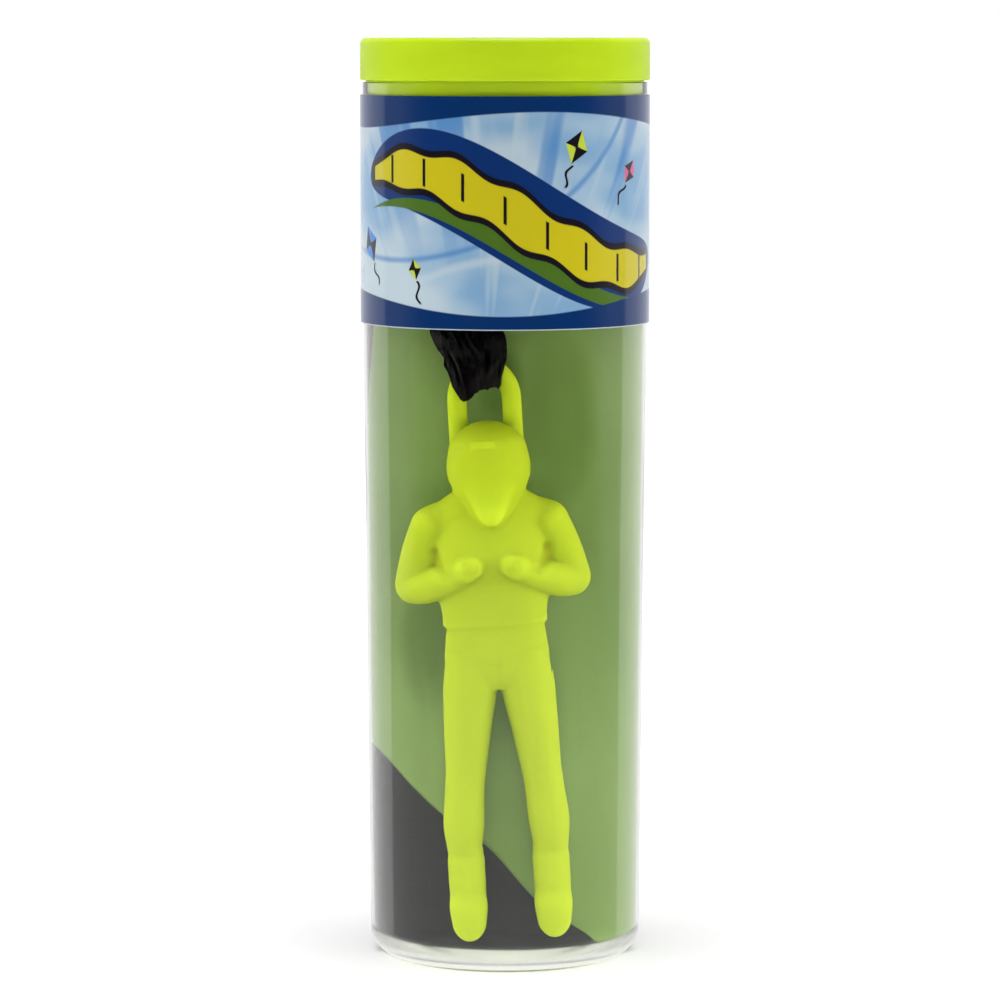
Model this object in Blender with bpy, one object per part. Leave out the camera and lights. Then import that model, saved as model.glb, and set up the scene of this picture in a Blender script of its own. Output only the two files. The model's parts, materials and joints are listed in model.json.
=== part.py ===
"""A toy parachute packed in its clear tube.

The tube stands on its base with its axis on +Z and the figure facing -Y. The toy inside is a moulded
figure, hung by its loop from the gathered net skirt of a folded canopy. All sizes are in metres.
"""

from math import cos, hypot, pi, radians, sin, sqrt

import bmesh
import bpy
from mathutils import Matrix, Vector

# Tube and cap
WALL = 0.0012  # thickness of the tube's wall
FLOOR_THICKNESS = 0.0012
DRAFT_SLOPE = 0.0095  # how much the lower bore's radius grows for each unit of height
NECK_SLOPE = 0.0003  # the same above the label's lower edge
BASE_CORNER = 0.0048  # outer radius between the wall and the base
FLOOR_CORNER = 0.0036  # inner radius between the bore and the floor
FOOT_WIDTH = 0.0030  # flat ring that the tube stands on
PUSH_UP = 0.0008  # how far the base inside the foot ring is raised
LIP_EDGE = 0.0003  # chamfer at the tube's mouth and under the cap's rim
PLUG_DEPTH = 0.0090
PLUG_WALL = 0.0014
PLUG_LEAD_IN = 0.0010  # chamfer at the plug's lower edge
CAP_RIM_HEIGHT = 0.0076
CAP_OVERHANG = 0.00045  # how far the rim stands out past the tube's mouth
CAP_TOP_THICKNESS = 0.0016
CAP_EDGE_RADIUS = 0.0010

# Label
LABEL_HEIGHT = 0.0409
LABEL_THICKNESS = 0.0002
LABEL_BELOW_MOUTH = 0.0023  # clear neck left bare above the label
LABEL_OVERLAP = 0.0080  # glued overlap at the back

# Packed canopy
PACK_HEIGHT = 0.1466
PACK_FRONT_DEPTH = 0.0092  # how far the roll bulges in front of the tube's axis, beside the legs
PACK_UPPER_DEPTH = 0.0046  # the same beside the head
PACK_TOP_ROUND = 0.0060
FOLD_DEPTH = 0.0005
FOLD_COUNT = 7
HEM_EDGE = 0.0009  # what shows of a side panel where its seam reaches the end of the roll

# Net skirt and its tie
SKIRT_WIDTH = 0.0128
SKIRT_DEPTH = 0.0104
SKIRT_DROP = 0.0050  # how far the gathered end hangs below the bar of the loop
SKIRT_HEADROOM = 0.0060  # how far the skirt ends below the top of the roll
PLEAT_COUNT = 9
PLEAT_SHARE = 0.06
TIE_DIAMETER = 0.0006
TIE_PITCH = 0.00105
TIE_TURNS = 3

# Figure
FIGURE_LENGTH = 0.1045  # top of the loop to the toes
BODY_WIDTH = 0.0353  # elbow to elbow
BODY_DEPTH = 0.0098  # chest, front to back
HEAD_WIDTH = 0.0150
HEAD_DEPTH = 0.0154
ARM_THICKNESS = 0.0068
LOOP_WIDTH = 0.0098  # between the centre lines of its two uprights
LOOP_BAR = 0.0035  # thickness of its bar
ARCH_RISE = 0.0059  # from the top of the loop's uprights to the middle of its bar
LOOP_BEHIND = 0.0037  # loop's plane behind the middle of the body
LOOP_LEFT = 0.0043  # loop's middle to the left of the tube's axis
LEAN = radians(3.2)
FOOT_CLEARANCE = 0.0031  # toes above the tube's floor

# Clearances
TOUCH_GAP = 0.0003  # between pieces that touch
PACK_CLEARANCE = 0.0004  # between the roll and the bore
SIDE_PLAY = 0.0014  # between the figure and the bore where they are closest
LOOP_CLEARANCE = 0.00035  # between the loop's bar and the net round it

# Counts and angles
ROUND_STEPS = 64
CORNER_STEPS = 5
BODY_SIDES = 20
LIMB_SIDES = 12
BOOT_SIDES = 14
PACK_SIDES = 44
SKIRT_SIDES = 36
ARCH_STEPS = 12
SHARP_ANGLE = radians(40)
DOME_LIFTS = (radians(25), radians(50), radians(75))  # rings of the domed end of a limb
TOE_LIFTS = (radians(30), radians(60), radians(80))
TIE_STEPS = 24  # for each turn of the thread
MERGE_DISTANCE = 0.000001
OVERRUN = 0.0010  # headroom between the roll and the plug, and how far cutters run past what they cut

# Forms of the figure. Heights are shares of its length, down from the top of the loop. Half widths are shares
# of the body's width and half depths are shares of its depth.
TORSO_SHARES = (
    (0.214, 0.110, 0.36), (0.236, 0.215, 0.42), (0.258, 0.298, 0.47), (0.280, 0.326, 0.50),
    (0.310, 0.316, 0.52), (0.352, 0.300, 0.51), (0.400, 0.282, 0.47), (0.440, 0.264, 0.45),
    (0.456, 0.268, 0.47),
)
PELVIS_SHARES = (
    (0.448, 0.246, 0.42), (0.480, 0.256, 0.44), (0.520, 0.266, 0.45), (0.550, 0.240, 0.42),
    (0.568, 0.150, 0.34),
)
LEG_SHARES = (  # height, middle of the leg, half width, half depth
    (0.500, 0.131, 0.125, 0.40), (0.558, 0.144, 0.137, 0.43), (0.592, 0.154, 0.132, 0.42),
    (0.630, 0.168, 0.122, 0.41), (0.694, 0.187, 0.106, 0.37), (0.742, 0.203, 0.100, 0.35),
    (0.800, 0.217, 0.104, 0.37), (0.840, 0.220, 0.090, 0.34), (0.862, 0.220, 0.086, 0.31),
    (0.895, 0.219, 0.082, 0.28),
)
HEAD_SHARES = (  # height, then half width, half depth and distance forward as shares of the head's sizes
    (0.110, 0.16, 0.16, 0.05), (0.117, 0.30, 0.29, 0.05), (0.128, 0.39, 0.38, 0.05),
    (0.145, 0.45, 0.45, 0.04), (0.168, 0.49, 0.49, 0.04), (0.193, 0.50, 0.50, 0.04),
    (0.216, 0.46, 0.48, 0.06), (0.234, 0.39, 0.42, 0.11), (0.252, 0.31, 0.34, 0.18),
    (0.272, 0.22, 0.23, 0.28), (0.286, 0.13, 0.13, 0.36),
)
HEAD_OFF_CENTRE_SHARE = 0.02
KNEE_SHARE = 0.69  # below this height the leg lies against the roll
BOOT_SHARES = (  # height, distance forward as a share of the depth, half width, half depth
    (0.847, -0.01, 0.096, 0.36), (0.885, 0.03, 0.093, 0.35), (0.918, 0.12, 0.097, 0.36),
    (0.945, 0.22, 0.097, 0.34), (0.968, 0.31, 0.087, 0.28),
)
BOOT_MIDDLE_SHARE = 0.216
# Arms: across, height, distance forward as a share of the depth, radius as a share of the arm's thickness
UPPER_ARM_SHARES = ((0.300, 0.282, 0.02, 0.52), (0.355, 0.330, -0.14, 0.52), (0.402, 0.384, -0.34, 0.50))
FOREARM_SHARES = (
    (0.400, 0.386, -0.32, 0.50), (0.330, 0.382, 0.06, 0.47), (0.215, 0.366, 0.38, 0.40),
    (0.150, 0.361, 0.48, 0.33), (0.100, 0.358, 0.52, 0.37), (0.070, 0.356, 0.52, 0.34),
)
UPRIGHT_END_SHARE = 0.242  # where the loop's uprights end, inside the jacket

# Seams round the roll: share of a turn from the left wall by way of the front, and share of the roll's height
LOWER_SEAM_SHARES = (
    (0.00, 0.248), (0.17, 0.166), (0.23, 0.116), (0.288, 0.053), (0.40, 0.004), (0.50, 0.004),
    (0.62, 0.050), (0.75, 0.130), (0.90, 0.215), (1.00, 0.248),
)
UPPER_SEAM_SHARES = (
    (0.00, 0.700), (0.02, 0.775), (0.05, 0.900), (0.08, 0.990), (0.50, 0.990), (0.58, 0.860),
    (0.66, 0.560), (0.75, 0.430), (0.88, 0.540), (1.00, 0.700),
)
PANEL_ROW_SHARES = (0.0, 0.010, 0.024, 0.06, 0.14, 0.24, 0.34, 0.44, 0.56, 0.70, 0.84, 0.93, 0.97, 0.99, 1.0)
BULGE_START_SHARE = 0.24  # heights between which the front of the roll draws back
BULGE_END_SHARE = 0.42

# Net skirt: height, middle across, half width, middle behind the bar, half depth and pleats. Heights are
# shares of its drop below the bar, of its rise to the tied waist, and of its rise from there to its top.
SKIRT_DROP_SHARES = (
    (-1.00, -0.230, 0.050, -0.300, 0.070, 0.0), (-0.88, -0.225, 0.120, -0.290, 0.150, 0.4),
    (-0.72, -0.200, 0.190, -0.220, 0.250, 0.8), (-0.58, -0.110, 0.320, -0.090, 0.430, 1.0),
    (-0.40, -0.105, 0.360, -0.060, 0.480, 1.0), (0.00, -0.105, 0.395, -0.060, 0.490, 1.0),
)
SKIRT_LOWER_SHARES = (
    (0.17, -0.140, 0.450, -0.060, 0.490, 1.0), (0.35, -0.180, 0.480, -0.060, 0.480, 1.0),
    (0.52, -0.205, 0.500, -0.060, 0.450, 1.0), (0.82, -0.160, 0.440, -0.050, 0.420, 0.4),
    (1.00, -0.150, 0.400, -0.050, 0.400, 0.0),
)
SKIRT_UPPER_SHARES = (
    (0.00, -0.150, 0.400, -0.050, 0.400, 0.0), (0.21, -0.120, 0.480, -0.050, 0.440, 0.8),
    (0.58, -0.080, 0.620, -0.050, 0.470, 1.0), (0.88, -0.060, 0.640, -0.050, 0.460, 1.0),
    (1.00, -0.060, 0.480, -0.050, 0.360, 0.6),
)
TIE_HEIGHT_SHARE = 0.46


def clear_scene():
    """Remove every object of the open scene."""
    for item in list(bpy.data.objects):
        bpy.data.objects.remove(item, do_unlink=True)


def make_material(name, colour, roughness, alpha=1.0):
    """A plain Principled material."""
    material = bpy.data.materials.new(name)
    material.use_nodes = True
    shader = material.node_tree.nodes["Principled BSDF"]
    shader.inputs["Base Color"].default_value = (*colour, 1.0)
    shader.inputs["Roughness"].default_value = roughness
    shader.inputs["Metallic"].default_value = 0.0
    shader.inputs["Alpha"].default_value = alpha
    return material


def make_object(name, bm, material, parent=None):
    """Turn a bmesh into a smooth-shaded object with its faces pointing out."""
    bmesh.ops.recalc_face_normals(bm, faces=bm.faces)
    mesh = bpy.data.meshes.new(name)
    bm.to_mesh(mesh)
    bm.free()
    mesh.materials.append(material)
    mesh.shade_smooth()
    mesh.set_sharp_from_angle(angle=SHARP_ANGLE)
    item = bpy.data.objects.new(name, mesh)
    bpy.context.scene.collection.objects.link(item)
    item.parent = parent
    return item


def as_guide(item):
    """Mark an object that only shapes others."""
    item.hide_render = True
    item.display_type = "WIRE"


def combine(target, other, operation):
    """Add or cut away another object with a Boolean modifier."""
    modifier = target.modifiers.new(other.name, "BOOLEAN")
    modifier.operation = operation
    modifier.object = other
    modifier.solver = "EXACT"
    as_guide(other)


def arc(centre_r, centre_z, radius, start, end, steps=CORNER_STEPS):
    """Points (r, z) of an arc, angles measured from +R towards +Z."""
    angles = [start + (end - start) * i / steps for i in range(steps + 1)]
    return [(centre_r + radius * cos(a), centre_z + radius * sin(a)) for a in angles]


def turned(profile):
    """Spin a profile of (r, z) points, which starts and ends on the axis, round the Z axis."""
    bm = bmesh.new()
    verts = [bm.verts.new((r, 0.0, z)) for r, z in profile]
    edges = [bm.edges.new(pair) for pair in zip(verts, verts[1:])]
    bmesh.ops.spin(bm, geom=verts + edges, cent=(0, 0, 0), axis=(0, 0, 1), angle=2 * pi,
                   steps=ROUND_STEPS, use_merge=True)
    bmesh.ops.remove_doubles(bm, verts=bm.verts, dist=MERGE_DISTANCE)
    return bm


def loft(rings):
    """Skin a list of rings and close both ends with a fan."""
    bm = bmesh.new()
    rows = [[bm.verts.new(point) for point in ring] for ring in rings]
    count = len(rings[0])
    for low, high in zip(rows, rows[1:]):
        for i in range(count):
            j = (i + 1) % count
            bm.faces.new((low[i], low[j], high[j], high[i]))
    for row in (rows[0], rows[-1]):
        hub = bm.verts.new(sum((vert.co for vert in row), Vector()) / count)
        for i in range(count):
            bm.faces.new((row[i], row[(i + 1) % count], hub))
    return bm


def oval(centre, half_width, half_depth, sides):
    """A level ring."""
    turns = [2 * pi * i / sides for i in range(sides)]
    return [centre + Vector((half_width * cos(t), half_depth * sin(t), 0)) for t in turns]


def round_limb(points, radii, sides=LIMB_SIDES):
    """Rings along a path of points, with a domed end at each side."""
    first = (points[0] - points[1]).normalized()
    last = (points[-1] - points[-2]).normalized()
    path = []
    for lift in reversed(DOME_LIFTS):
        path.append((points[0] + first * radii[0] * sin(lift), radii[0] * cos(lift)))
    path.extend(zip(points, radii))
    for lift in DOME_LIFTS:
        path.append((points[-1] + last * radii[-1] * sin(lift), radii[-1] * cos(lift)))
    rings = []
    side = None
    for i, (point, radius) in enumerate(path):
        before = path[max(i - 1, 0)][0]
        after = path[min(i + 1, len(path) - 1)][0]
        along = (after - before).normalized()
        if side is None:
            side = along.orthogonal()
        side = (side - along * side.dot(along)).normalized()
        other = along.cross(side)
        turns = [2 * pi * k / sides for k in range(sides)]
        rings.append([point + (side * cos(t) + other * sin(t)) * radius for t in turns])
    return rings


def blend(table, at):
    """Read a table of (position, value) pairs, in a straight line between its rows."""
    for (start, low), (end, high) in zip(table, table[1:]):
        if at <= end:
            t = (at - start) / (end - start)
            return low + (high - low) * t
    return table[-1][1]


def down(share):
    """Height in the figure's own frame, whose origin is on the middle of the loop's bar."""
    return LOOP_BAR / 2 - share * FIGURE_LENGTH


def torso_rings():
    """Jacket, from the neck to its hem."""
    return [oval(Vector((0, -LOOP_BEHIND, down(d))), w * BODY_WIDTH, t * BODY_DEPTH, BODY_SIDES)
            for d, w, t in TORSO_SHARES]


def pelvis_rings():
    """Trousers above the legs, tucked under the jacket's hem."""
    return [oval(Vector((0, -LOOP_BEHIND, down(d))), w * BODY_WIDTH, t * BODY_DEPTH, BODY_SIDES)
            for d, w, t in PELVIS_SHARES]


def head_rings():
    """Full-face helmet with its chin guard forward."""
    rings = []
    for d, w, t, forward in HEAD_SHARES:
        centre = Vector((-HEAD_OFF_CENTRE_SHARE * HEAD_WIDTH, -LOOP_BEHIND - forward * HEAD_DEPTH, down(d)))
        rings.append(oval(centre, w * HEAD_WIDTH, t * HEAD_DEPTH, BODY_SIDES))
    return rings


def leg_rings(side):
    """One leg, from inside the pelvis to inside the boot."""
    return [oval(Vector((side * x * BODY_WIDTH, -LOOP_BEHIND, down(d))), w * BODY_WIDTH, t * BODY_DEPTH,
                 LIMB_SIDES) for d, x, w, t in LEG_SHARES]


def boot_rings(side):
    """One boot, its toe pointing down and forward."""
    rings = []
    for d, forward, w, t in BOOT_SHARES:
        centre = Vector((side * BOOT_MIDDLE_SHARE * BODY_WIDTH, -LOOP_BEHIND - forward * BODY_DEPTH, down(d)))
        rings.append(oval(centre, w * BODY_WIDTH, t * BODY_DEPTH, BOOT_SIDES))
    toe = rings[-1]
    middle = sum(toe, Vector()) / len(toe)
    fall = down(1.0) - middle.z
    for lift in TOE_LIFTS:
        drop = Vector((0, fall * (1 - cos(lift)) / 2, fall * sin(lift)))
        rings.append([middle + (point - middle) * cos(lift) + drop for point in toe])
    return rings


def arm_rings(side, shares):
    """One length of an arm."""
    points = [Vector((side * x * BODY_WIDTH, -LOOP_BEHIND - forward * BODY_DEPTH, down(d)))
              for x, d, forward, r in shares]
    radii = [r * ARM_THICKNESS for x, d, forward, r in shares]
    return round_limb(points, radii)


def loop_points(foot_z):
    """Centre line of the hanging loop: up the left side, over the arch and down the right."""
    radius = LOOP_WIDTH / 2
    points = [Vector((-radius, 0, foot_z))]
    for i in range(ARCH_STEPS + 1):
        turn = pi - pi * i / ARCH_STEPS
        points.append(Vector((radius * cos(turn), 0, ARCH_RISE * sin(turn) - ARCH_RISE)))
    points.append(Vector((radius, 0, foot_z)))
    return points


def loop_rings(bar, foot_z):
    """The loop's bar, or the channel round it."""
    points = loop_points(foot_z)
    return round_limb(points, [bar / 2] * len(points))


def figure_parts():
    """Rings of each form of the figure, in its own frame."""
    parts = {"torso": torso_rings(), "pelvis": pelvis_rings(), "head": head_rings()}
    parts["loop"] = loop_rings(LOOP_BAR, down(UPRIGHT_END_SHARE))
    for side, word in ((-1, "left"), (1, "right")):
        parts[word + "_leg"] = leg_rings(side)
        parts[word + "_boot"] = boot_rings(side)
        parts[word + "_upper_arm"] = arm_rings(side, UPPER_ARM_SHARES)
        parts[word + "_forearm"] = arm_rings(side, FOREARM_SHARES)
    return parts


FIGURE_PARTS = figure_parts()
LEAN_TURN = Matrix.Rotation(-LEAN, 4, "Y")

# Heights, from the base up
FLOOR_Z = PUSH_UP + FLOOR_THICKNESS
LOWEST_TOE = min((LEAN_TURN @ p).z for rings in FIGURE_PARTS.values() for ring in rings for p in ring)
HINGE_Z = FLOOR_Z + FOOT_CLEARANCE - LOWEST_TOE
PACK_BOTTOM_Z = FLOOR_Z + TOUCH_GAP
PACK_TOP_Z = PACK_BOTTOM_Z + PACK_HEIGHT
PLUG_BOTTOM_Z = PACK_TOP_Z + TOUCH_GAP + OVERRUN
MOUTH_Z = PLUG_BOTTOM_Z + PLUG_DEPTH - TOUCH_GAP
RIM_Z = MOUTH_Z + TOUCH_GAP
TOP_Z = RIM_Z + CAP_RIM_HEIGHT
LABEL_TOP_Z = MOUTH_Z - LABEL_BELOW_MOUTH
LABEL_BOTTOM_Z = LABEL_TOP_Z - LABEL_HEIGHT

# Depths: the calves lie against the front of the roll
CALF_HALF_DEPTH = max(t for d, x, w, t in LEG_SHARES if d > KNEE_SHARE) * BODY_DEPTH
BODY_Y = -(PACK_FRONT_DEPTH + TOUCH_GAP + CALF_HALF_DEPTH)
HINGE = Vector((-LOOP_LEFT, BODY_Y + LOOP_BEHIND, HINGE_Z))
FIGURE_PLACE = Matrix.Translation(HINGE) @ LEAN_TURN


def figure_reach():
    """Bore radius at the base that a drafted tube needs to just hold the figure."""
    reach = 0.0
    for rings in FIGURE_PARTS.values():
        for ring in rings:
            for point in ring:
                place = FIGURE_PLACE @ point
                reach = max(reach, hypot(place.x, place.y) - DRAFT_SLOPE * place.z)
    return reach


BORE_BASE_R = figure_reach() + SIDE_PLAY


def bore(z):
    """Bore radius at a height, without the floor's corner."""
    lower = min(z, LABEL_BOTTOM_Z)
    return BORE_BASE_R + DRAFT_SLOPE * lower + NECK_SLOPE * (z - lower)


def free_bore(z):
    """Bore radius at a height, with the floor's corner."""
    rise = FLOOR_Z + FLOOR_CORNER - z
    if rise <= 0:
        return bore(z)
    return bore(z) - FLOOR_CORNER + sqrt(max(FLOOR_CORNER ** 2 - rise ** 2, 0))


def outside(z):
    """Outer radius of the tube's wall."""
    return bore(z) + WALL


def build_tube():
    """Clear tube: outer wall, foot ring, raised base, floor and bore in one turned profile."""
    corner_r = outside(BASE_CORNER) - BASE_CORNER
    profile = [(0, PUSH_UP), (corner_r - FOOT_WIDTH - PUSH_UP, PUSH_UP), (corner_r - FOOT_WIDTH, 0)]
    profile += arc(corner_r, BASE_CORNER, BASE_CORNER, -pi / 2, 0)
    profile += [(outside(LABEL_BOTTOM_Z), LABEL_BOTTOM_Z), (outside(MOUTH_Z), MOUTH_Z - LIP_EDGE)]
    profile += [(outside(MOUTH_Z) - LIP_EDGE, MOUTH_Z), (bore(MOUTH_Z) + LIP_EDGE, MOUTH_Z)]
    profile += [(bore(MOUTH_Z), MOUTH_Z - LIP_EDGE), (bore(LABEL_BOTTOM_Z), LABEL_BOTTOM_Z)]
    inner_z = FLOOR_Z + FLOOR_CORNER
    profile += arc(bore(inner_z) - FLOOR_CORNER, inner_z, FLOOR_CORNER, 0, -pi / 2)
    profile.append((0, FLOOR_Z))
    material = make_material("clear_plastic", (0.93, 0.95, 0.90), 0.05, alpha=0.25)
    return make_object("clear_tube", turned(profile), material)


def build_cap():
    """Plug cap: a thick rim on the mouth and a hollow plug inside it."""
    rim_r = outside(MOUTH_Z) + CAP_OVERHANG
    plug_r = bore(PLUG_BOTTOM_Z) - TOUCH_GAP
    hollow_r = plug_r - PLUG_WALL
    edge = CAP_EDGE_RADIUS
    ceiling = TOP_Z - CAP_TOP_THICKNESS
    profile = [(0, ceiling), (hollow_r - edge, ceiling), (hollow_r, ceiling - edge)]
    profile += [(hollow_r, PLUG_BOTTOM_Z), (plug_r - PLUG_LEAD_IN / 2, PLUG_BOTTOM_Z)]
    profile += [(plug_r, PLUG_BOTTOM_Z + PLUG_LEAD_IN), (plug_r, RIM_Z)]
    profile += [(rim_r - LIP_EDGE, RIM_Z), (rim_r, RIM_Z + LIP_EDGE)]
    profile += arc(rim_r - edge, TOP_Z - edge, edge, 0, pi / 2)
    profile.append((0, TOP_Z))
    material = make_material("lime_plastic", (0.50, 0.75, 0.02), 0.35)
    return make_object("plug_cap", turned(profile), material)


def build_label():
    """Printed film wrapped round the tube, thicker where its ends overlap at the back."""
    inner = outside(LABEL_TOP_Z) + TOUCH_GAP
    half_lap = LABEL_OVERLAP / 2 / inner
    step = LABEL_THICKNESS / inner
    lap = [pi / 2 - half_lap, pi / 2 + half_lap]
    free_turn = 2 * (pi - half_lap - step)
    free = [lap[1] + step + free_turn * i / ROUND_STEPS for i in range(ROUND_STEPS + 1)]
    stations = [(lap[0], 2), (pi / 2, 2), (lap[1], 2)] + [(turn, 1) for turn in free]
    bm = bmesh.new()
    columns = []
    for turn, layers in stations:
        column = []
        for z, thick in ((LABEL_BOTTOM_Z, 0), (LABEL_BOTTOM_Z, 1), (LABEL_TOP_Z, 1), (LABEL_TOP_Z, 0)):
            radius = outside(z) + TOUCH_GAP + thick * layers * LABEL_THICKNESS
            column.append(bm.verts.new((radius * cos(turn), radius * sin(turn), z)))
        columns.append(column)
    for here, there in zip(columns, columns[1:] + columns[:1]):
        for i in range(len(here)):
            j = (i + 1) % len(here)
            bm.faces.new((here[i], here[j], there[j], there[i]))
    material = make_material("printed_film", (0.05, 0.12, 0.45), 0.25)
    return make_object("label_sleeve", bm, material)


def roll_point(turn_share, z):
    """A point on the roll's surface: round at the back of the bore, a shallow bulge in front."""
    angle = 2 * pi * turn_share
    rise = (z - PACK_BOTTOM_Z) / PACK_HEIGHT
    t = min(max((rise - BULGE_START_SHARE) / (BULGE_END_SHARE - BULGE_START_SHARE), 0), 1)
    bulge = PACK_FRONT_DEPTH + (PACK_UPPER_DEPTH - PACK_FRONT_DEPTH) * t * t * (3 - 2 * t)
    radius = free_bore(z) - PACK_CLEARANCE
    over = z - (PACK_TOP_Z - PACK_TOP_ROUND)
    if over > 0:
        radius -= PACK_TOP_ROUND - sqrt(max(PACK_TOP_ROUND ** 2 - over ** 2, 0))
        bulge *= radius / (free_bore(z) - PACK_CLEARANCE)
    fold = FOLD_DEPTH * (1 - cos(FOLD_COUNT * angle)) / 2 * abs(sin(angle))
    depth = bulge if sin(angle) > 0 else radius
    return Vector((-(radius - fold) * cos(angle), -(depth - fold) * sin(angle), z))


def seam_z(table, turn_share):
    """Height of a seam at a place round the roll."""
    low = PACK_BOTTOM_Z + HEM_EDGE
    high = PACK_TOP_Z - HEM_EDGE
    return min(max(PACK_BOTTOM_Z + blend(table, turn_share) * PACK_HEIGHT, low), high)


def build_panel(name, low_of, high_of, material):
    """One panel of the rolled canopy, between two heights that vary round it."""
    turns = [i / PACK_SIDES for i in range(PACK_SIDES)]
    rings = []
    for share in PANEL_ROW_SHARES:
        ring = []
        for turn in turns:
            low = low_of(turn)
            ring.append(roll_point(turn, low + (high_of(turn) - low) * share))
        rings.append(ring)
    return make_object(name, loft(rings), material)


def build_canopy():
    """Two black side panels with the green centre panel between their seams."""
    green = make_material("green_nylon", (0.20, 0.33, 0.10), 0.6)
    black = make_material("black_nylon", (0.03, 0.03, 0.03), 0.6)
    seam_gap = TOUCH_GAP * 2
    lower = build_panel("canopy_side_panel_lower", lambda turn: PACK_BOTTOM_Z,
                        lambda turn: seam_z(LOWER_SEAM_SHARES, turn), black)
    centre = build_panel("canopy_centre_panel", lambda turn: seam_z(LOWER_SEAM_SHARES, turn) + seam_gap,
                         lambda turn: seam_z(UPPER_SEAM_SHARES, turn) - seam_gap, green)
    upper = build_panel("canopy_side_panel_upper", lambda turn: seam_z(UPPER_SEAM_SHARES, turn),
                        lambda turn: PACK_TOP_Z, black)
    return lower, centre, upper


SKIRT_RISE = PACK_TOP_Z - SKIRT_HEADROOM - HINGE_Z
TIE_MIDDLE = TIE_HEIGHT_SHARE * SKIRT_RISE  # above the bar of the loop
TIE_HALF_HEIGHT = TIE_TURNS * TIE_PITCH / 2


def skirt_sections():
    """Middle, half width, half depth and pleats of the gathered net, from its end up."""
    waist_low = TIE_MIDDLE - TIE_HALF_HEIGHT - TIE_DIAMETER
    waist_high = TIE_MIDDLE + TIE_HALF_HEIGHT + TIE_DIAMETER
    spans = ((0, SKIRT_DROP, SKIRT_DROP_SHARES), (0, waist_low, SKIRT_LOWER_SHARES),
             (waist_high, SKIRT_RISE - waist_high, SKIRT_UPPER_SHARES))
    sections = []
    for start, span, table in spans:
        for height, x, w, y, t, pleats in table:
            middle = HINGE + Vector((x * SKIRT_WIDTH, y * SKIRT_DEPTH, start + height * span))
            sections.append((middle, w * SKIRT_WIDTH, t * SKIRT_DEPTH, pleats * PLEAT_SHARE))
    return sections


def build_skirt():
    """Gathered net, with a channel for the bar of the figure's loop."""
    rings = []
    for middle, half_width, half_depth, pleats in skirt_sections():
        ring = []
        for i in range(SKIRT_SIDES):
            turn = 2 * pi * i / SKIRT_SIDES
            size = 1 - pleats * (1 - cos(PLEAT_COUNT * turn)) / 2
            ring.append(middle + Vector((half_width * size * cos(turn), half_depth * size * sin(turn), 0)))
        rings.append(ring)
    material = make_material("black_net", (0.012, 0.010, 0.012), 0.5)
    skirt = make_object("net_skirt", loft(rings), material)
    foot_z = -ARCH_RISE - SKIRT_DROP - OVERRUN
    channel = make_object("loop_channel", loft(loop_rings(LOOP_BAR + 2 * LOOP_CLEARANCE, foot_z)), material)
    channel.matrix_world = FIGURE_PLACE
    combine(skirt, channel, "DIFFERENCE")
    return skirt


def tie_points():
    """Centre line of the thread, a helix round the skirt's waist."""
    sections = skirt_sections()
    waist = [s for s in sections if s[3] == 0 and s[0].z > HINGE_Z][0]
    middle, half_width, half_depth, pleats = waist
    around = TOUCH_GAP + TIE_DIAMETER / 2
    start_z = HINGE_Z + TIE_MIDDLE - TIE_HALF_HEIGHT
    steps = TIE_TURNS * TIE_STEPS
    points = []
    for i in range(steps + 1):
        turn = 2 * pi * TIE_TURNS * i / steps
        points.append(Vector((middle.x + (half_width + around) * cos(turn),
                              middle.y + (half_depth + around) * sin(turn),
                              start_z + TIE_PITCH * turn / (2 * pi))))
    return points


def build_tie():
    """Thread wound round the gathered net."""
    points = tie_points()
    curve = bpy.data.curves.new("skirt_tie", "CURVE")
    curve.dimensions = "3D"
    curve.bevel_depth = TIE_DIAMETER / 2
    curve.bevel_resolution = 1
    curve.use_fill_caps = True
    spline = curve.splines.new("POLY")
    spline.points.add(len(points) - 1)
    for knot, point in zip(spline.points, points):
        knot.co = (*point, 1.0)
    curve.materials.append(make_material("black_thread", (0.015, 0.015, 0.018), 0.7))
    tie = bpy.data.objects.new("skirt_tie", curve)
    bpy.context.scene.collection.objects.link(tie)
    print("least gap between the tie's turns, in mm:", round((TIE_PITCH - TIE_DIAMETER) * 1000, 3))
    return tie


def build_figure():
    """The moulded parachutist, joined from its forms, on its hinge at the loop."""
    hinge = bpy.data.objects.new("loop_hinge", None)
    hinge.matrix_world = FIGURE_PLACE
    bpy.context.scene.collection.objects.link(hinge)
    material = make_material("neon_plastic", (0.60, 0.80, 0.03), 0.5)
    forms = dict(FIGURE_PARTS)
    figure = make_object("parachutist_figure", loft(forms.pop("torso")), material, parent=hinge)
    for name, rings in forms.items():
        combine(figure, make_object(name + "_form", loft(rings), material, parent=hinge), "UNION")
    return figure


def main():
    clear_scene()
    build_tube()
    build_cap()
    build_label()
    build_canopy()
    build_skirt()
    build_tie()
    build_figure()


main()
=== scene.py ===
"""The finished look of a toy parachute packed in its clear tube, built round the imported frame.

Every piece is in metres in the frame's own axes: +Z up the tube, -Y towards the viewer.
"""

import json
from functools import reduce
from itertools import accumulate
from math import cos, exp, floor, pi, radians, sin, sqrt

import bmesh
import bpy
import numpy as np
from bpy.props import FloatProperty, FloatVectorProperty, IntProperty, PointerProperty
from mathutils import Matrix, Vector, noise


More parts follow.
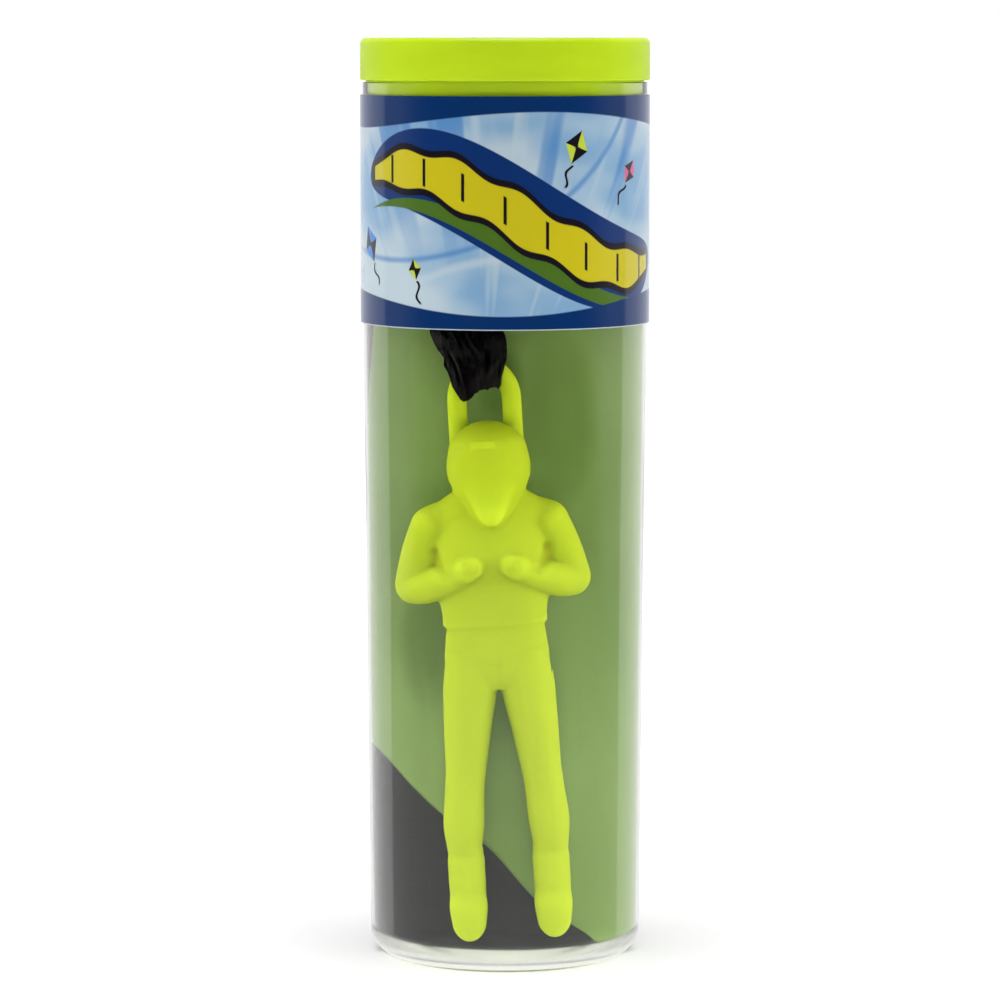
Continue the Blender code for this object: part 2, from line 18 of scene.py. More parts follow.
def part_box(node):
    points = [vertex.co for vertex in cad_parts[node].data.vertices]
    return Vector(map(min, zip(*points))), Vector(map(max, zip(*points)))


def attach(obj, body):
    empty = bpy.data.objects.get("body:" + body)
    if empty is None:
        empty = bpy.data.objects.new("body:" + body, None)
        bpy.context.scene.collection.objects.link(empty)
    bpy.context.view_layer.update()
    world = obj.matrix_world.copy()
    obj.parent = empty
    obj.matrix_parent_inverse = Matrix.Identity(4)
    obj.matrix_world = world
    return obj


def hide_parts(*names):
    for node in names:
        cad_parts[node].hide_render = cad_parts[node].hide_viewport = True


bl_info = {
    "name": "Toy parachute in its tube",
    "version": (1, 0, 0),
    "blender": (4, 5, 0),
    "location": "View3D > Sidebar > Toy parachute",
    "description": "Builds a packed toy parachute and its studio round the part's own frame",
    "category": "Object",
}

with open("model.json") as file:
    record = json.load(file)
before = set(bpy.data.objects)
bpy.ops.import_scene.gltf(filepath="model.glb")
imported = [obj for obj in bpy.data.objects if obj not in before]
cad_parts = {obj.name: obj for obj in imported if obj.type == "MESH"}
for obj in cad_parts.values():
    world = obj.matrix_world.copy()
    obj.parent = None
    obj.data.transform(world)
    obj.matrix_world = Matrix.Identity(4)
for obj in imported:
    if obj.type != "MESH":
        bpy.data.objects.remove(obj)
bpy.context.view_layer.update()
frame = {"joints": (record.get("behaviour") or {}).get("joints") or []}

# Places that the frame gives
MOUTH_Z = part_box("clear_tube")[1].z
MOUTH_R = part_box("clear_tube")[1].x
LABEL_BOTTOM_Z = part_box("label_sleeve")[0].z
LABEL_TOP_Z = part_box("label_sleeve")[1].z
PLUG_BOTTOM_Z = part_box("plug_cap")[0].z
TOP_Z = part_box("plug_cap")[1].z
CAP_RIM_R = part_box("plug_cap")[1].x
PACK_BOTTOM_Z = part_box("canopy_side_panel_lower")[0].z
PACK_TOP_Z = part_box("canopy_side_panel_upper")[1].z
PACK_HEIGHT = PACK_TOP_Z - PACK_BOTTOM_Z
HINGE = Vector(next(j["pos_m"] for j in frame["joints"] if j["name"] == "figure_swing"))

# Tube
WALL = 0.0004  # thinner than the frame's 1.2 mm, so that the cloth reaches nearly to the outline
DRAFT_SLOPE = 0.0095
NECK_SLOPE = 0.0003
FLOOR_CORNER = 0.0043
BORE_BASE_R = MOUTH_R - WALL - DRAFT_SLOPE * LABEL_BOTTOM_Z - NECK_SLOPE * (MOUTH_Z - LABEL_BOTTOM_Z)
BASE_CORNER = 0.0048
FLOOR_Z = 0.0013
PUSH_UP = 0.0008
GATE_RECESS = 0.0002
FOOT_INSET = 0.0030
FOOT_ROUND = 0.0004
LINE_WIDTH = 0.00024
TOUCH_GAP = 0.0003

# Rolled canopy
PACK_CLEARANCE = 0.00010
PACK_FRONT_DEPTH = 0.0092
PACK_UPPER_DEPTH = 0.0046
PACK_TOP_ROUND = 0.0060
TOE_SPREAD = 0.0035  # how far the lowest cloth spreads forward under the toes
FOLD_DEPTH = 0.0005
FOLD_COUNT = 7
BULGE_START_SHARE = 0.24
BULGE_END_SHARE = 0.42
HEM_EDGE = 0.0009
ROLL_MIDDLE_Y = 0.0070
SEAM_LAP = 0.0016
TUCK_DEPTH = 0.00035
TUCK_SPAN = 0.0012, 0.0026  # how far from its edge a lapped panel starts and ends its dip under the next
LOWER_SEAM_SHARES = (
    (0.00, 0.248), (0.02, 0.246), (0.05, 0.240), (0.09, 0.223), (0.131, 0.195), (0.173, 0.162), (0.23, 0.124),
    (0.287, 0.060), (0.336, 0.026), (0.386, 0.000), (0.40, -0.006), (0.50, -0.006), (0.62, 0.050), (0.75, 0.130),
    (0.90, 0.222), (1.00, 0.248),
)
UPPER_SEAM_SHARES = (
    (0.00, 0.620), (0.02, 0.690), (0.038, 0.735), (0.05, 0.800), (0.07, 0.990), (0.50, 0.990),
    (0.58, 0.860), (0.66, 0.560), (0.75, 0.430), (0.88, 0.540), (1.00, 0.620),
)

# Figure, as shares of its own length, width and depth
FIGURE_LENGTH = 0.1045
BODY_WIDTH = 0.0353
BODY_DEPTH = 0.0098
HEAD_WIDTH = 0.0150
HEAD_DEPTH = 0.0154
ARM_THICKNESS = 0.0068
LOOP_WIDTH = 0.0098
LOOP_BAR = 0.0035
ARCH_RISE = 0.0059
LOOP_BEHIND = 0.0037
LOOP_SHIFT = 0.00025
LEAN = radians(3.2)
TORSO_SHARES = (
    (0.214, 0.110, 0.36), (0.228, 0.190, 0.42), (0.244, 0.262, 0.46), (0.262, 0.310, 0.49),
    (0.285, 0.322, 0.50), (0.310, 0.316, 0.52), (0.352, 0.300, 0.51), (0.400, 0.282, 0.47),
    (0.440, 0.264, 0.45), (0.456, 0.268, 0.47),
)
CHEST_SHARES = (
    (0.240, 0.17, 0.42, 0.02), (0.262, 0.23, 0.50, 0.04), (0.290, 0.275, 0.555, 0.07), (0.320, 0.290, 0.595, 0.09),
    (0.345, 0.285, 0.600, 0.10), (0.362, 0.265, 0.555, 0.09), (0.376, 0.22, 0.46, 0.07), (0.386, 0.16, 0.34, 0.05),
)
PELVIS_SHARES = (
    (0.448, 0.246, 0.42), (0.480, 0.256, 0.44), (0.520, 0.266, 0.43), (0.550, 0.240, 0.36),
    (0.568, 0.150, 0.26),
)
LEG_SHARES = (
    (0.500, 0.131, 0.125, 0.40), (0.558, 0.144, 0.137, 0.43), (0.592, 0.154, 0.132, 0.42),
    (0.630, 0.168, 0.122, 0.41), (0.694, 0.187, 0.106, 0.37), (0.742, 0.203, 0.100, 0.35),
    (0.800, 0.217, 0.104, 0.37), (0.840, 0.220, 0.090, 0.34), (0.862, 0.220, 0.086, 0.31),
    (0.895, 0.219, 0.082, 0.28),
)
DOME_SHARES = (
    (0.1062, 0.035, 0.04, 0.05), (0.1070, 0.095, 0.10, 0.05), (0.1092, 0.155, 0.165, 0.05),
    (0.1132, 0.220, 0.235, 0.05), (0.1215, 0.318, 0.335, 0.05), (0.1332, 0.405, 0.42, 0.05),
    (0.1448, 0.450, 0.465, 0.045), (0.1564, 0.468, 0.48, 0.04), (0.171, 0.490, 0.495, 0.04),
    (0.185, 0.496, 0.50, 0.04), (0.200, 0.488, 0.50, 0.05), (0.210, 0.462, 0.48, 0.07),
    (0.217, 0.42, 0.44, 0.09), (0.223, 0.35, 0.36, 0.10),
)
GUARD_SHARES = (
    (0.168, 0.42, 0.44, 0.09), (0.188, 0.452, 0.47, 0.09), (0.205, 0.458, 0.475, 0.10), (0.2195, 0.437, 0.46, 0.115),
    (0.2303, 0.390, 0.42, 0.14), (0.2444, 0.328, 0.36, 0.18), (0.256, 0.276, 0.31, 0.22), (0.266, 0.222, 0.26, 0.26),
    (0.2752, 0.158, 0.20, 0.30), (0.2800, 0.110, 0.14, 0.33), (0.2830, 0.050, 0.07, 0.35),
)
HEAD_OFF_CENTRE_SHARE = 0.025
BOOT_SHARES = (
    (0.847, -0.01, 0.096, 0.36), (0.885, 0.03, 0.093, 0.35), (0.918, 0.12, 0.097, 0.36),
    (0.945, 0.22, 0.097, 0.34), (0.968, 0.31, 0.087, 0.28),
)
BOOT_MIDDLE_SHARE = 0.216
UPPER_ARM_SHARES = ((0.300, 0.282, 0.02, 0.52), (0.355, 0.330, -0.14, 0.52), (0.402, 0.384, -0.34, 0.50))
FOREARM_SHARES = (
    (0.400, 0.386, -0.32, 0.50), (0.330, 0.384, 0.00, 0.47), (0.215, 0.370, 0.32, 0.39),
    (0.165, 0.361, 0.49, 0.33), (0.128, 0.354, 0.61, 0.36), (0.096, 0.349, 0.65, 0.32),
)
YOKE_SHARES = (
    (-0.29, 0.279, -0.02, 0.50), (-0.15, 0.268, 0.0, 0.50), (0.15, 0.268, 0.0, 0.50), (0.29, 0.279, -0.02, 0.50),
)
UPRIGHT_END_SHARE = 0.242
BROW_MARKS = 0.1385, 0.1455
SMOOTHING_LOSS = 0.00004  # given back to the surface in metres
# painted light: a share of it on the figure's rounded tips, and on its chin by height down the figure and depth
# forward, as if lit from below
TIP_PAINTED_LIGHT = 0.45
CHIN_PAINTED_LIGHT = (0.295, 0), (0.288, 1), (0.262, 1), (0.20, 0)
CHIN_FRONT = 0.0103, 0.0110
FIGURE_PLACE = Matrix.Translation(HINGE) @ Matrix.Rotation(-LEAN, 4, "Y")

# Net skirt: heights over the bar in metres, then middle, half width and half depth as shares
SKIRT_WIDTH = 0.0128
SKIRT_DEPTH = 0.0104
SKIRT_SECTIONS = (
    (-0.0050, -0.110, 0.390, -0.100, 0.380), (-0.0036, -0.095, 0.410, -0.080, 0.430),
    (-0.0020, -0.085, 0.420, -0.060, 0.480), (0.0000, -0.085, 0.430, -0.060, 0.490),
    (0.0023, -0.110, 0.470, -0.060, 0.490), (0.0047, -0.150, 0.500, -0.060, 0.480),
    (0.0070, -0.205, 0.500, -0.060, 0.450), (0.0111, -0.160, 0.440, -0.050, 0.420),
    (0.0135, -0.150, 0.400, -0.050, 0.400), (0.0183, -0.150, 0.400, -0.050, 0.400),
    (0.0217, -0.120, 0.480, -0.050, 0.440), (0.0277, -0.080, 0.620, -0.050, 0.470),
    (0.0328, -0.060, 0.640, -0.050, 0.460), (0.0346, -0.060, 0.560, -0.050, 0.400),
)
TIE_HEIGHT = 0.0160
HEM_TOP = 0.0030

# How far below the bar the net's ragged end hangs, by its place across the figure
HEM_DROPS = (
    (-0.0062, 0.0002), (-0.0053, -0.0027), (-0.0046, -0.0042), (-0.0037, -0.0054), (-0.0026, -0.0059),
    (-0.0018, -0.0053), (-0.0002, -0.0038), (0.0012, -0.0038), (0.0015, -0.0032), (0.0023, -0.0032),
    (0.0032, -0.0038), (0.0039, -0.0026), (0.0042, -0.0006),
)

# Stage
TUBE_SIDE = 0.0207, -0.0133  # where the tube's front meets its side, seen from above
CAMERA_LENS = 154.73
CAMERA_PLACE = -0.0009, -0.778, 0.16584
CAMERA_PITCH = 6.069  # degrees


# ---- numbers ----

def smoothstep(low, high, value):
    """0 below low, 1 above high and a soft step between them."""
    t = min(max((value - low) / (high - low), 0.0), 1.0)
    return t * t * (3 - 2 * t)


def read_table(table, at):
    """Value at a position, in a straight line between the rows of a table of (position, value)."""
    for (start, low), (end, high) in zip(table, table[1:]):
        if at <= end:
            return low + (high - low) * (at - start) / (end - start)
    return table[-1][1]


def smooth_rows(rows, steps):
    """Rows on a smooth curve through the given ones."""
    last = len(rows) - 1
    made = []
    for i in range(last):
        ends = rows[max(i - 1, 0)], rows[i], rows[i + 1], rows[min(i + 2, last)]
        for k in range(steps):
            t = k / steps
            made.append(tuple(
                0.5 * (2 * b + (c - a) * t + (2 * a - 5 * b + 4 * c - d) * t ** 2 + (3 * b - a - 3 * c + d) * t ** 3)
                for a, b, c, d in zip(*ends)))
    made.append(tuple(rows[-1]))
    return made


def even_turns(count):
    """Angles spread evenly round a full turn."""
    return [2 * pi * i / count for i in range(count)]


def arc(centre_r, centre_z, radius, start, end, steps=12):
    """Points (r, z) of an arc, angles measured from +R towards +Z."""
    angles = [start + (end - start) * i / steps for i in range(steps + 1)]
    return [(centre_r + radius * cos(a), centre_z + radius * sin(a)) for a in angles]


def oval(centre, half_width, half_depth, sides):
    """A level ring of points."""
    return [centre + Vector((half_width * cos(t), half_depth * sin(t), 0)) for t in even_turns(sides)]


def middle_of(points):
    return sum(points, Vector()) / len(points)


def tube_rings(points, radii, sides):
    """Rings along a path of points, with domed ends."""
    first = (points[0] - points[1]).normalized()
    last = (points[-1] - points[-2]).normalized()
    lifts = [radians(a) for a in (15, 30, 45, 60, 75, 86)]
    path = [(points[0] + first * radii[0] * sin(a), radii[0] * cos(a)) for a in reversed(lifts)]
    path.extend(zip(points, radii))
    path.extend((points[-1] + last * radii[-1] * sin(a), radii[-1] * cos(a)) for a in lifts)
    rings = []
    side = None
    for i, (point, radius) in enumerate(path):
        along = (path[min(i + 1, len(path) - 1)][0] - path[max(i - 1, 0)][0]).normalized()
        side = along.orthogonal() if side is None else side
        side = (side - along * side.dot(along)).normalized()
        other = along.cross(side)
        rings.append([point + (side * cos(t) + other * sin(t)) * radius for t in even_turns(sides)])
    return rings


# ---- meshes and pieces ----

def skin(bm, rows, closed=True, uv=None, place=None):
    """Join neighbouring rows of vertices with faces; place gives each corner's spot on the flat sheet."""
    for n, (low, high) in enumerate(zip(rows, rows[1:])):
        for i in range(len(low) if closed else len(low) - 1):
            j = (i + 1) % len(low)
            face = bm.faces.new((low[i], low[j], high[j], high[i]))
            if place:
                for loop, corner in zip(face.loops, ((n, i), (n, i + 1), (n + 1, i + 1), (n + 1, i))):
                    loop[uv].uv = place(*corner, loop.vert.co.z)


def close(bm, row):
    """Close a ring of vertices with a fan."""
    hub = bm.verts.new(middle_of([vert.co for vert in row]))
    for i, vert in enumerate(row):
        bm.faces.new((vert, row[(i + 1) % len(row)], hub))


def add_loft(bm, rings):
    """Skin a list of rings into a bmesh and close both ends."""
    rows = [[bm.verts.new(point) for point in ring] for ring in rings]
    skin(bm, rows)
    close(bm, rows[0])
    close(bm, rows[-1])


def round_tube(turn, radius, z):
    """A point on the tube's round, by its angle from the front."""
    return radius * sin(turn), -radius * cos(turn), z


def spun(profile, turns, push=lambda turn, r, z: 0):
    """Turn a profile of (r, z) points, which starts and ends on the axis, through the given angles."""
    bm = bmesh.new()
    columns = [[bm.verts.new(round_tube(turn, r + push(turn, r, z), z)) for r, z in profile] for turn in turns]
    skin(bm, columns + columns[:1], closed=False)
    ends = [column[k] for column in columns for k in (0, -1)]
    bmesh.ops.remove_doubles(bm, verts=ends, dist=1e-7)
    return bm


def to_mesh(bm, name):
    mesh = bpy.data.meshes.new(name)
    bm.to_mesh(mesh)
    bm.free()
    return mesh


def add_object(name, data):
    item = bpy.data.objects.new(name, data)
    bpy.context.scene.collection.objects.link(item)
    return item


def modify(piece, kind, **settings):
    """Add a modifier with its settings."""
    modifier = piece.modifiers.new(kind.lower(), kind)
    for key, value in settings.items():
        setattr(modifier, key, value)


def settled(piece, *helpers):
    """The mesh of an object with its modifiers applied; the object and its helpers go."""
    graph = bpy.context.evaluated_depsgraph_get()
    mesh = bpy.data.meshes.new_from_object(piece.evaluated_get(graph))
    for item in (piece, *helpers):
        bpy.data.objects.remove(item, do_unlink=True)
    return mesh


def dress(name, mesh, finish, body, node, sharp=None):
    """Make a mesh a piece with its finish and shading, which rides on a body and stands for a node."""
    mesh.materials.append(finish)
    mesh.shade_smooth()
    if sharp:
        mesh.set_sharp_from_angle(angle=radians(sharp))
    piece = add_object(name, mesh)
    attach(piece, body)
    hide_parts(node)
    return piece


def finish_piece(name, bm, finish, body, node, sharp=None):
    """Clean a bmesh and make it a piece."""
    bmesh.ops.dissolve_degenerate(bm, edges=bm.edges, dist=1e-8)
    bmesh.ops.recalc_face_normals(bm, faces=bm.faces)
    return dress(name, to_mesh(bm, name), finish, body, node, sharp)


# ---- finishes ----

def dimmed(colour, share):
    return tuple(part * share for part in colour)


class Value:
    """What a node gives, which can be added, subtracted and multiplied."""

    def __init__(self, nodes, socket):
        self.nodes, self.socket = nodes, socket

    def __add__(self, other):
        return self.nodes.math("ADD", self, other)

    def __sub__(self, other):
        return self.nodes.math("SUBTRACT", self, other)

    def __rsub__(self, other):
        return self.nodes.math("SUBTRACT", other, self)

    def __mul__(self, other):
        return self.nodes.math("MULTIPLY", self, other)

    __radd__, __rmul__ = __add__, __mul__

    def __abs__(self):
        return self.nodes.math("ABSOLUTE", self)

    def step(self, low, high):
        """0 to 1 as this goes from low to high."""
        return self.nodes.add("MapRange", {0: self, 1: low, 2: high}, interpolation_type="SMOOTHSTEP")


class Nodes:
    """The nodes of one tree."""

    def __init__(self, tree):
        self.tree = tree

    def put(self, socket, value):
        """Link a value to a socket, or set the socket's own."""
        if isinstance(value, Value):
            self.tree.links.new(value.socket, socket)
        else:
            socket.default_value = value

    def add(self, kind, inputs=(), output=0, **settings):
        """What a new node with the given inputs and settings gives."""
        node = self.tree.nodes.new("ShaderNode" + kind)
        for key, value in settings.items():
            setattr(node, key, value)
        for key, value in dict(inputs).items():
            self.put(node.inputs[key], value)
        return Value(self, node.outputs[output])

    def math(self, operation, *values):
        return self.add("Math", enumerate(values), operation=operation)

    def largest(self, *values):
        return reduce(lambda made, value: self.math("MAXIMUM", made, value), values)

    def sine(self, value):
        return self.math("SINE", value)

    def parts(self, vector):
        """The three parts of a vector."""
        return [Value(self, out) for out in self.add("SeparateXYZ", {0: vector}).socket.node.outputs]

    def vector(self, *parts):
        return self.add("CombineXYZ", enumerate(parts))

    def mix(self, factor, first, second):
        """Blend two colours."""
        pad = [c if isinstance(c, Value) else (*c, 1.0) for c in (first, second)]
        return self.add("Mix", {0: factor, 6: pad[0], 7: pad[1]}, 2, data_type="RGBA")

    def ray(self, kind):
        return self.add("LightPath", output=kind)

    def place(self):
        """Coordinates in the piece's own space, in metres."""
        return self.add("TexCoord", output="Object")

    def uv(self, name):
        return self.add("UVMap", uv_map=name)

    def stretch(self, vector, *scale):
        return self.add("Mapping", {"Vector": vector, "Scale": scale})

    def cloud(self, vector, scale, detail=3.0, roughness=0.5):
        """Smooth noise from 0 to 1."""
        return self.add("TexNoise", {"Vector": vector, "Scale": scale, "Detail": detail, "Roughness": roughness})

    def bump(self, height, distance, strength=0.6, **after):
        """Surface relief of the given height in metres, on top of the relief given as Normal."""
        return self.add("Bump", {"Height": height, "Distance": distance, "Strength": strength, **after})


class Finish(Nodes):
    """One material's nodes."""

    def __init__(self, name, **values):
        self.material = bpy.data.materials.new(name)
        self.material.use_nodes = True
        super().__init__(self.material.node_tree)
        self.set(**values)

    def set(self, **values):
        """Set or link the shader's own inputs."""
        inputs = self.tree.nodes["Principled BSDF"].inputs
        for key, value in values.items():
            self.put(inputs[key.replace("_", " ").title().replace("Ior", "IOR")], value)

    def vary(self, value, low, high):
        """From low to high as value goes from 0 to 1."""
        return self.add("MapRange", {0: value, 3: low, 4: high})

    def surface(self, shader):
        self.put(self.tree.nodes["Material Output"].inputs["Surface"], shader)

    def let_through(self, share, colour):
        """Let a share of the light straight through, tinted."""
        own = Value(self, self.tree.nodes["Principled BSDF"].outputs[0])
        open_air = self.add("BsdfTransparent", {"Color": (*colour, 1.0)})
        self.surface(self.add("MixShader", {0: share, 1: own, 2: open_air}))


def clear_plastic(settings, name, roughness):
    """Clear moulded plastic: even tint, faint ripples, and it lets lamps light what is inside."""
    f = Finish(name, roughness=roughness, ior=1.49, transmission_weight=1.0)
    place = f.place()
    ripple = f.cloud(f.stretch(place, 1.0, 1.0, 0.25), 160.0, 1.0)
    f.set(base_color=f.mix(f.cloud(place, 90.0), settings.colour, dimmed(settings.colour, 0.985)),
          normal=f.bump(ripple, 0.00003))
    f.let_through(f.ray("Is Shadow Ray"), [part ** 1.5 for part in settings.colour])
    return f.material


def clear_base(settings):
    """The same plastic across the flat of the base, where the moulding is a little milky."""
    f = Finish("clear_base", roughness=0.2, ior=1.49)
    place = f.place()
    f.set(base_color=f.mix(f.cloud(place, 300.0), settings.base_colour, dimmed(settings.base_colour, 0.97)),
          normal=f.bump(f.cloud(place, 500.0, 2.0), 0.00005, 0.5))
    f.let_through(0.95, settings.base_colour)
    return f.material


def lime_plastic(settings):
    """Satin moulded plastic of the cap, with faint flow marks and a fine eggshell texture."""
    f = Finish("lime_plastic", ior=1.49, specular_ior_level=0.28)
    place = f.place()
    flow = f.cloud(f.stretch(place, 1.0, 1.0, 3.0), 70.0, 4.0)
    f.set(base_color=f.mix(flow.step(0.3, 0.7), settings.colour, dimmed(settings.colour, 0.93)),
          roughness=f.vary(f.cloud(place, 900.0), 0.38, 0.5),
          normal=f.bump(f.cloud(place, 2600.0, 2.0), 0.00002, 0.5))
    return f.material


def neon_plastic(settings):
    """Matte neon moulding plastic, with painted shade in the hollows of its form and painted light on its tips and
    chin.
    """
    f = Finish("neon_plastic", ior=1.46, subsurface_weight=0.6, subsurface_scale=0.003,
               subsurface_radius=(1.0, 0.9, 0.2), specular_ior_level=0.15)
    place = f.place()
    # painted shade in the hollows and painted light on the tips and chin, read from the figure's hollow and tip
    # attributes
    hollow, tip = (f.add("Attribute", output="Fac", attribute_name=name) for name in ("hollow", "tip"))
    base = f.mix(f.cloud(place, 160.0), settings.colour, dimmed(settings.colour, 0.94))
    base = f.mix(tip, base, settings.painted_tip_light)
    f.set(base_color=f.mix(hollow * 0.85, base, settings.painted_hollow_shade),
          roughness=f.vary(f.cloud(place, 700.0), 0.42, 0.58),
          normal=f.bump(f.cloud(place, 1800.0), 0.00003, 0.5))
    return f.material


def woven(name, colour, pale, weave, sheen, roughness, painted_shadows=()):
    """Thin woven nylon: a plain weave with a stronger thread each few millimetres, soft colour changes, and painted
    shadows where they are given.
    """
    f = Finish(name, roughness=roughness, sheen_weight=sheen, sheen_roughness=0.4, specular_ior_level=0.3)
    cloth = f.uv("cloth")
    slack = f.stretch(cloth, 1.0, 0.6, 1.0)
    across, along, _ = f.parts(cloth)

    def threads(pitch):
        return [f.sine(way * (2 * pi / pitch)) for way in (across, along)]

    warp, weft = threads(weave)
    cross = warp * weft
    strong = f.largest(*(thread.step(0.9, 1.0) for thread in threads(weave * 14)))
    patch = f.cloud(slack, 40.0)
    base = f.mix(patch.step(0.3, 0.7), colour, pale)
    x, y, z = f.parts(f.place())
    front = y.step(0.004, -0.002)
    # painted shadows of the figure on the cloth's front: each darkens the colour towards a dull shade within its reach
    for middle_x, middle_z, reach_x, reach_z, depth in painted_shadows:
        off_x, off_z = (x - middle_x) * (1 / reach_x), (z - middle_z) * (1 / reach_z)
        far = off_x * off_x + off_z * off_z + (patch - 0.5) * 1.6
        shade = [part * share for part, share in zip(colour, (0.50, 0.55, 0.36))]
        base = f.mix(far.step(1.5, 0.0) * front * depth, base, shade)
    crease = f.bump(f.cloud(slack, 90.0), 0.00030)
    f.set(base_color=f.mix((cross + 1.0) * 0.10, base, dimmed(colour, 0.6)),
          normal=f.bump(cross * 0.5 + strong * 0.7, 0.000015, Normal=crease))
    return f.material


def black_net(settings):
    """Fine glossy net, seen as a tight grid with a faint warm sheen on its folds."""
    f = Finish("black_net", roughness=0.26, sheen_weight=0.012, sheen_tint=(0.5, 0.12, 0.16, 1.0),
               specular_ior_level=0.28)
    across, along, _ = f.parts(f.uv("cloth"))
    pitch = 2 * pi / settings.mesh_pitch
    holes = (f.sine(across * pitch) * f.sine(along * pitch)).step(-0.1, 0.5)
    lumps = f.bump(f.cloud(f.place(), 900.0), 0.0003, 0.5)
    f.set(base_color=f.mix(holes, settings.colour, dimmed(settings.colour, 0.3)),
          normal=f.bump(holes, 0.00006, 0.5, Normal=lumps))
    return f.material


def black_thread():
    """Twisted polyester thread."""
    f = Finish("black_thread", roughness=0.55, specular_ior_level=0.4)
    fuzz = f.cloud(f.stretch(f.place(), 1.0, 1.0, 3.0), 3000.0, 2.0)
    f.set(base_color=f.mix(fuzz, (0.008, 0.008, 0.010), (0.035, 0.033, 0.037)), normal=f.bump(fuzz, 0.00003))
    return f.material


def printed_film(settings):
    """Glossy film with its own sky and ribbon print: bands, clouds, a swooping ribbon and small kites."""
    f = Finish("printed_film", roughness=0.09, ior=1.5, specular_ior_level=0.42)
    wrap, high = (part * 1000.0 for part in f.parts(f.uv("label"))[:2])  # millimetres from the front and lower edge
    tall = (LABEL_TOP_Z - LABEL_BOTTOM_Z) * 1000.0
    repeat = 2 * pi * (MOUTH_R + TOUCH_GAP) * 500.0  # the print comes twice round the tube
    across = f.math("WRAP", wrap, repeat / 2, -repeat / 2)
    inner_print = abs(across).step(repeat * 0.49, repeat * 0.37)  # fades out where the print repeats
    soft = 0.25  # width of a printed edge in millimetres

    def paint(cover, name):
        nonlocal picture
        picture = f.mix(cover, picture, getattr(settings, name))

    # sky with soft clouds, rays that fan out from behind the ribbon, and two thin arcs
    flat = f.vector(wrap, high)
    picture = settings.sky
    paint(f.cloud(f.stretch(flat, 0.035, 0.06, 1.0), 1.0, 2.0).step(0.36, 0.62), "cloud")
    fan = f.math("ARCTAN2", across + 4.0, high + 22.0)
    ray = f.cloud(f.vector(fan * 7.0, high * 0.01), 1.0, 2.0, 0.6)
    paint(ray.step(0.52, 0.60) * (high.step(8.0, 30.0) * inner_print) * 0.75, "ray")
    paint(ray.step(0.44, 0.36) * inner_print * 0.6, "cloud")
    for middle, up, radius, width, name in ((6.0, -41.0, 54.0, 1.3, "cloud"), (-22.0, 66.0, 54.0, 0.9, "ray")):
        x, y = across - middle, high - up
        ring = f.math("SQRT", x * x + y * y)
        paint(abs(ring - radius).step(width, 0.0) * inner_print * 0.7, name)

    # swooping ribbon from upper left to lower right: a blue field, a green strand, a yellow strand with dark edges
    span = (across - 3.0) * (1 / 33.0)
    taper = f.largest(1.0 - span * span, 0.0)
    off = high - (f.sine(span * 2.4) * -7.2 + span * -2.5 + tall * 0.47)
    reach = abs(off)
    paint((f.math("SQRT", taper) * 9.4 - reach).step(0.0, soft), "field")
    paint((taper * 1.9 - abs(off + 6.0)).step(0.0, soft), "strand")
    body = f.math("SQRT", taper) * (f.sine(across * 0.55) * 0.16 + 1.0) * 4.3
    paint((body + 1.1 - reach).step(0.0, soft) * taper.step(0.03, 0.05), "outline")
    paint((body - 0.1 - reach).step(0.0, soft) * taper.step(0.10, 0.13), "ribbon")
    notch = abs(f.sine(across * 0.42))
    paint(notch.step(0.16, 0.09) * reach.step(2.6, 2.3) * taper.step(0.30, 0.34), "outline")

    # small two-tone kites with wavy tails
    for name, middle, up, size, tilt in settings.KITES:
        x, y = across - middle, high - up
        u = x * cos(tilt) + y * sin(tilt)
        v = y * cos(tilt) + x * -sin(tilt)
        inside = (size - (abs(u) * 1.35 + abs(v))).step(0.0, 0.2)
        paint(inside, "outline")
        paint(inside * (u * v).step(0.0, 0.12), name)
        tail = abs(u - f.sine(v * 1.6) * 0.45).step(0.32, 0.18)
        paint(tail * v.step(-size, -size - 0.2) * v.step(-size - 4.5, -size - 4.0), "outline")

    # bands along both edges, and the bare margin that shows as a pale line
    def wave(phase, height, level):
        return f.math("COSINE", (across + phase) * (2 * pi / repeat)) * height + level

    paint((high - (tall - wave(34.0, 1.5, 4.3))).step(-0.1, 0.2), "band")
    paint((wave(41.0, 1.9, 4.4) - high).step(-0.1, 0.2), "band")
    paint(high.step(0.24, 0.12), "margin")
    f.set(base_color=picture, normal=f.bump(f.cloud(f.stretch(flat, 0.05, 0.02, 1.0), 1.0, 2.0), 0.00012, 0.5))
    return f.material


# ---- tube, cap and label ----

def bore(z):
    """Bore radius at a height, without the floor's corner."""
    lower = min(z, LABEL_BOTTOM_Z)
    return BORE_BASE_R + DRAFT_SLOPE * lower + NECK_SLOPE * (z - lower)


def free_bore(z):
    """Bore radius at a height, with the floor's corner."""
    rise = FLOOR_Z + FLOOR_CORNER - z
    if rise <= 0:
        return bore(z)
    return bore(z) - FLOOR_CORNER + sqrt(max(FLOOR_CORNER ** 2 - rise ** 2, 0))


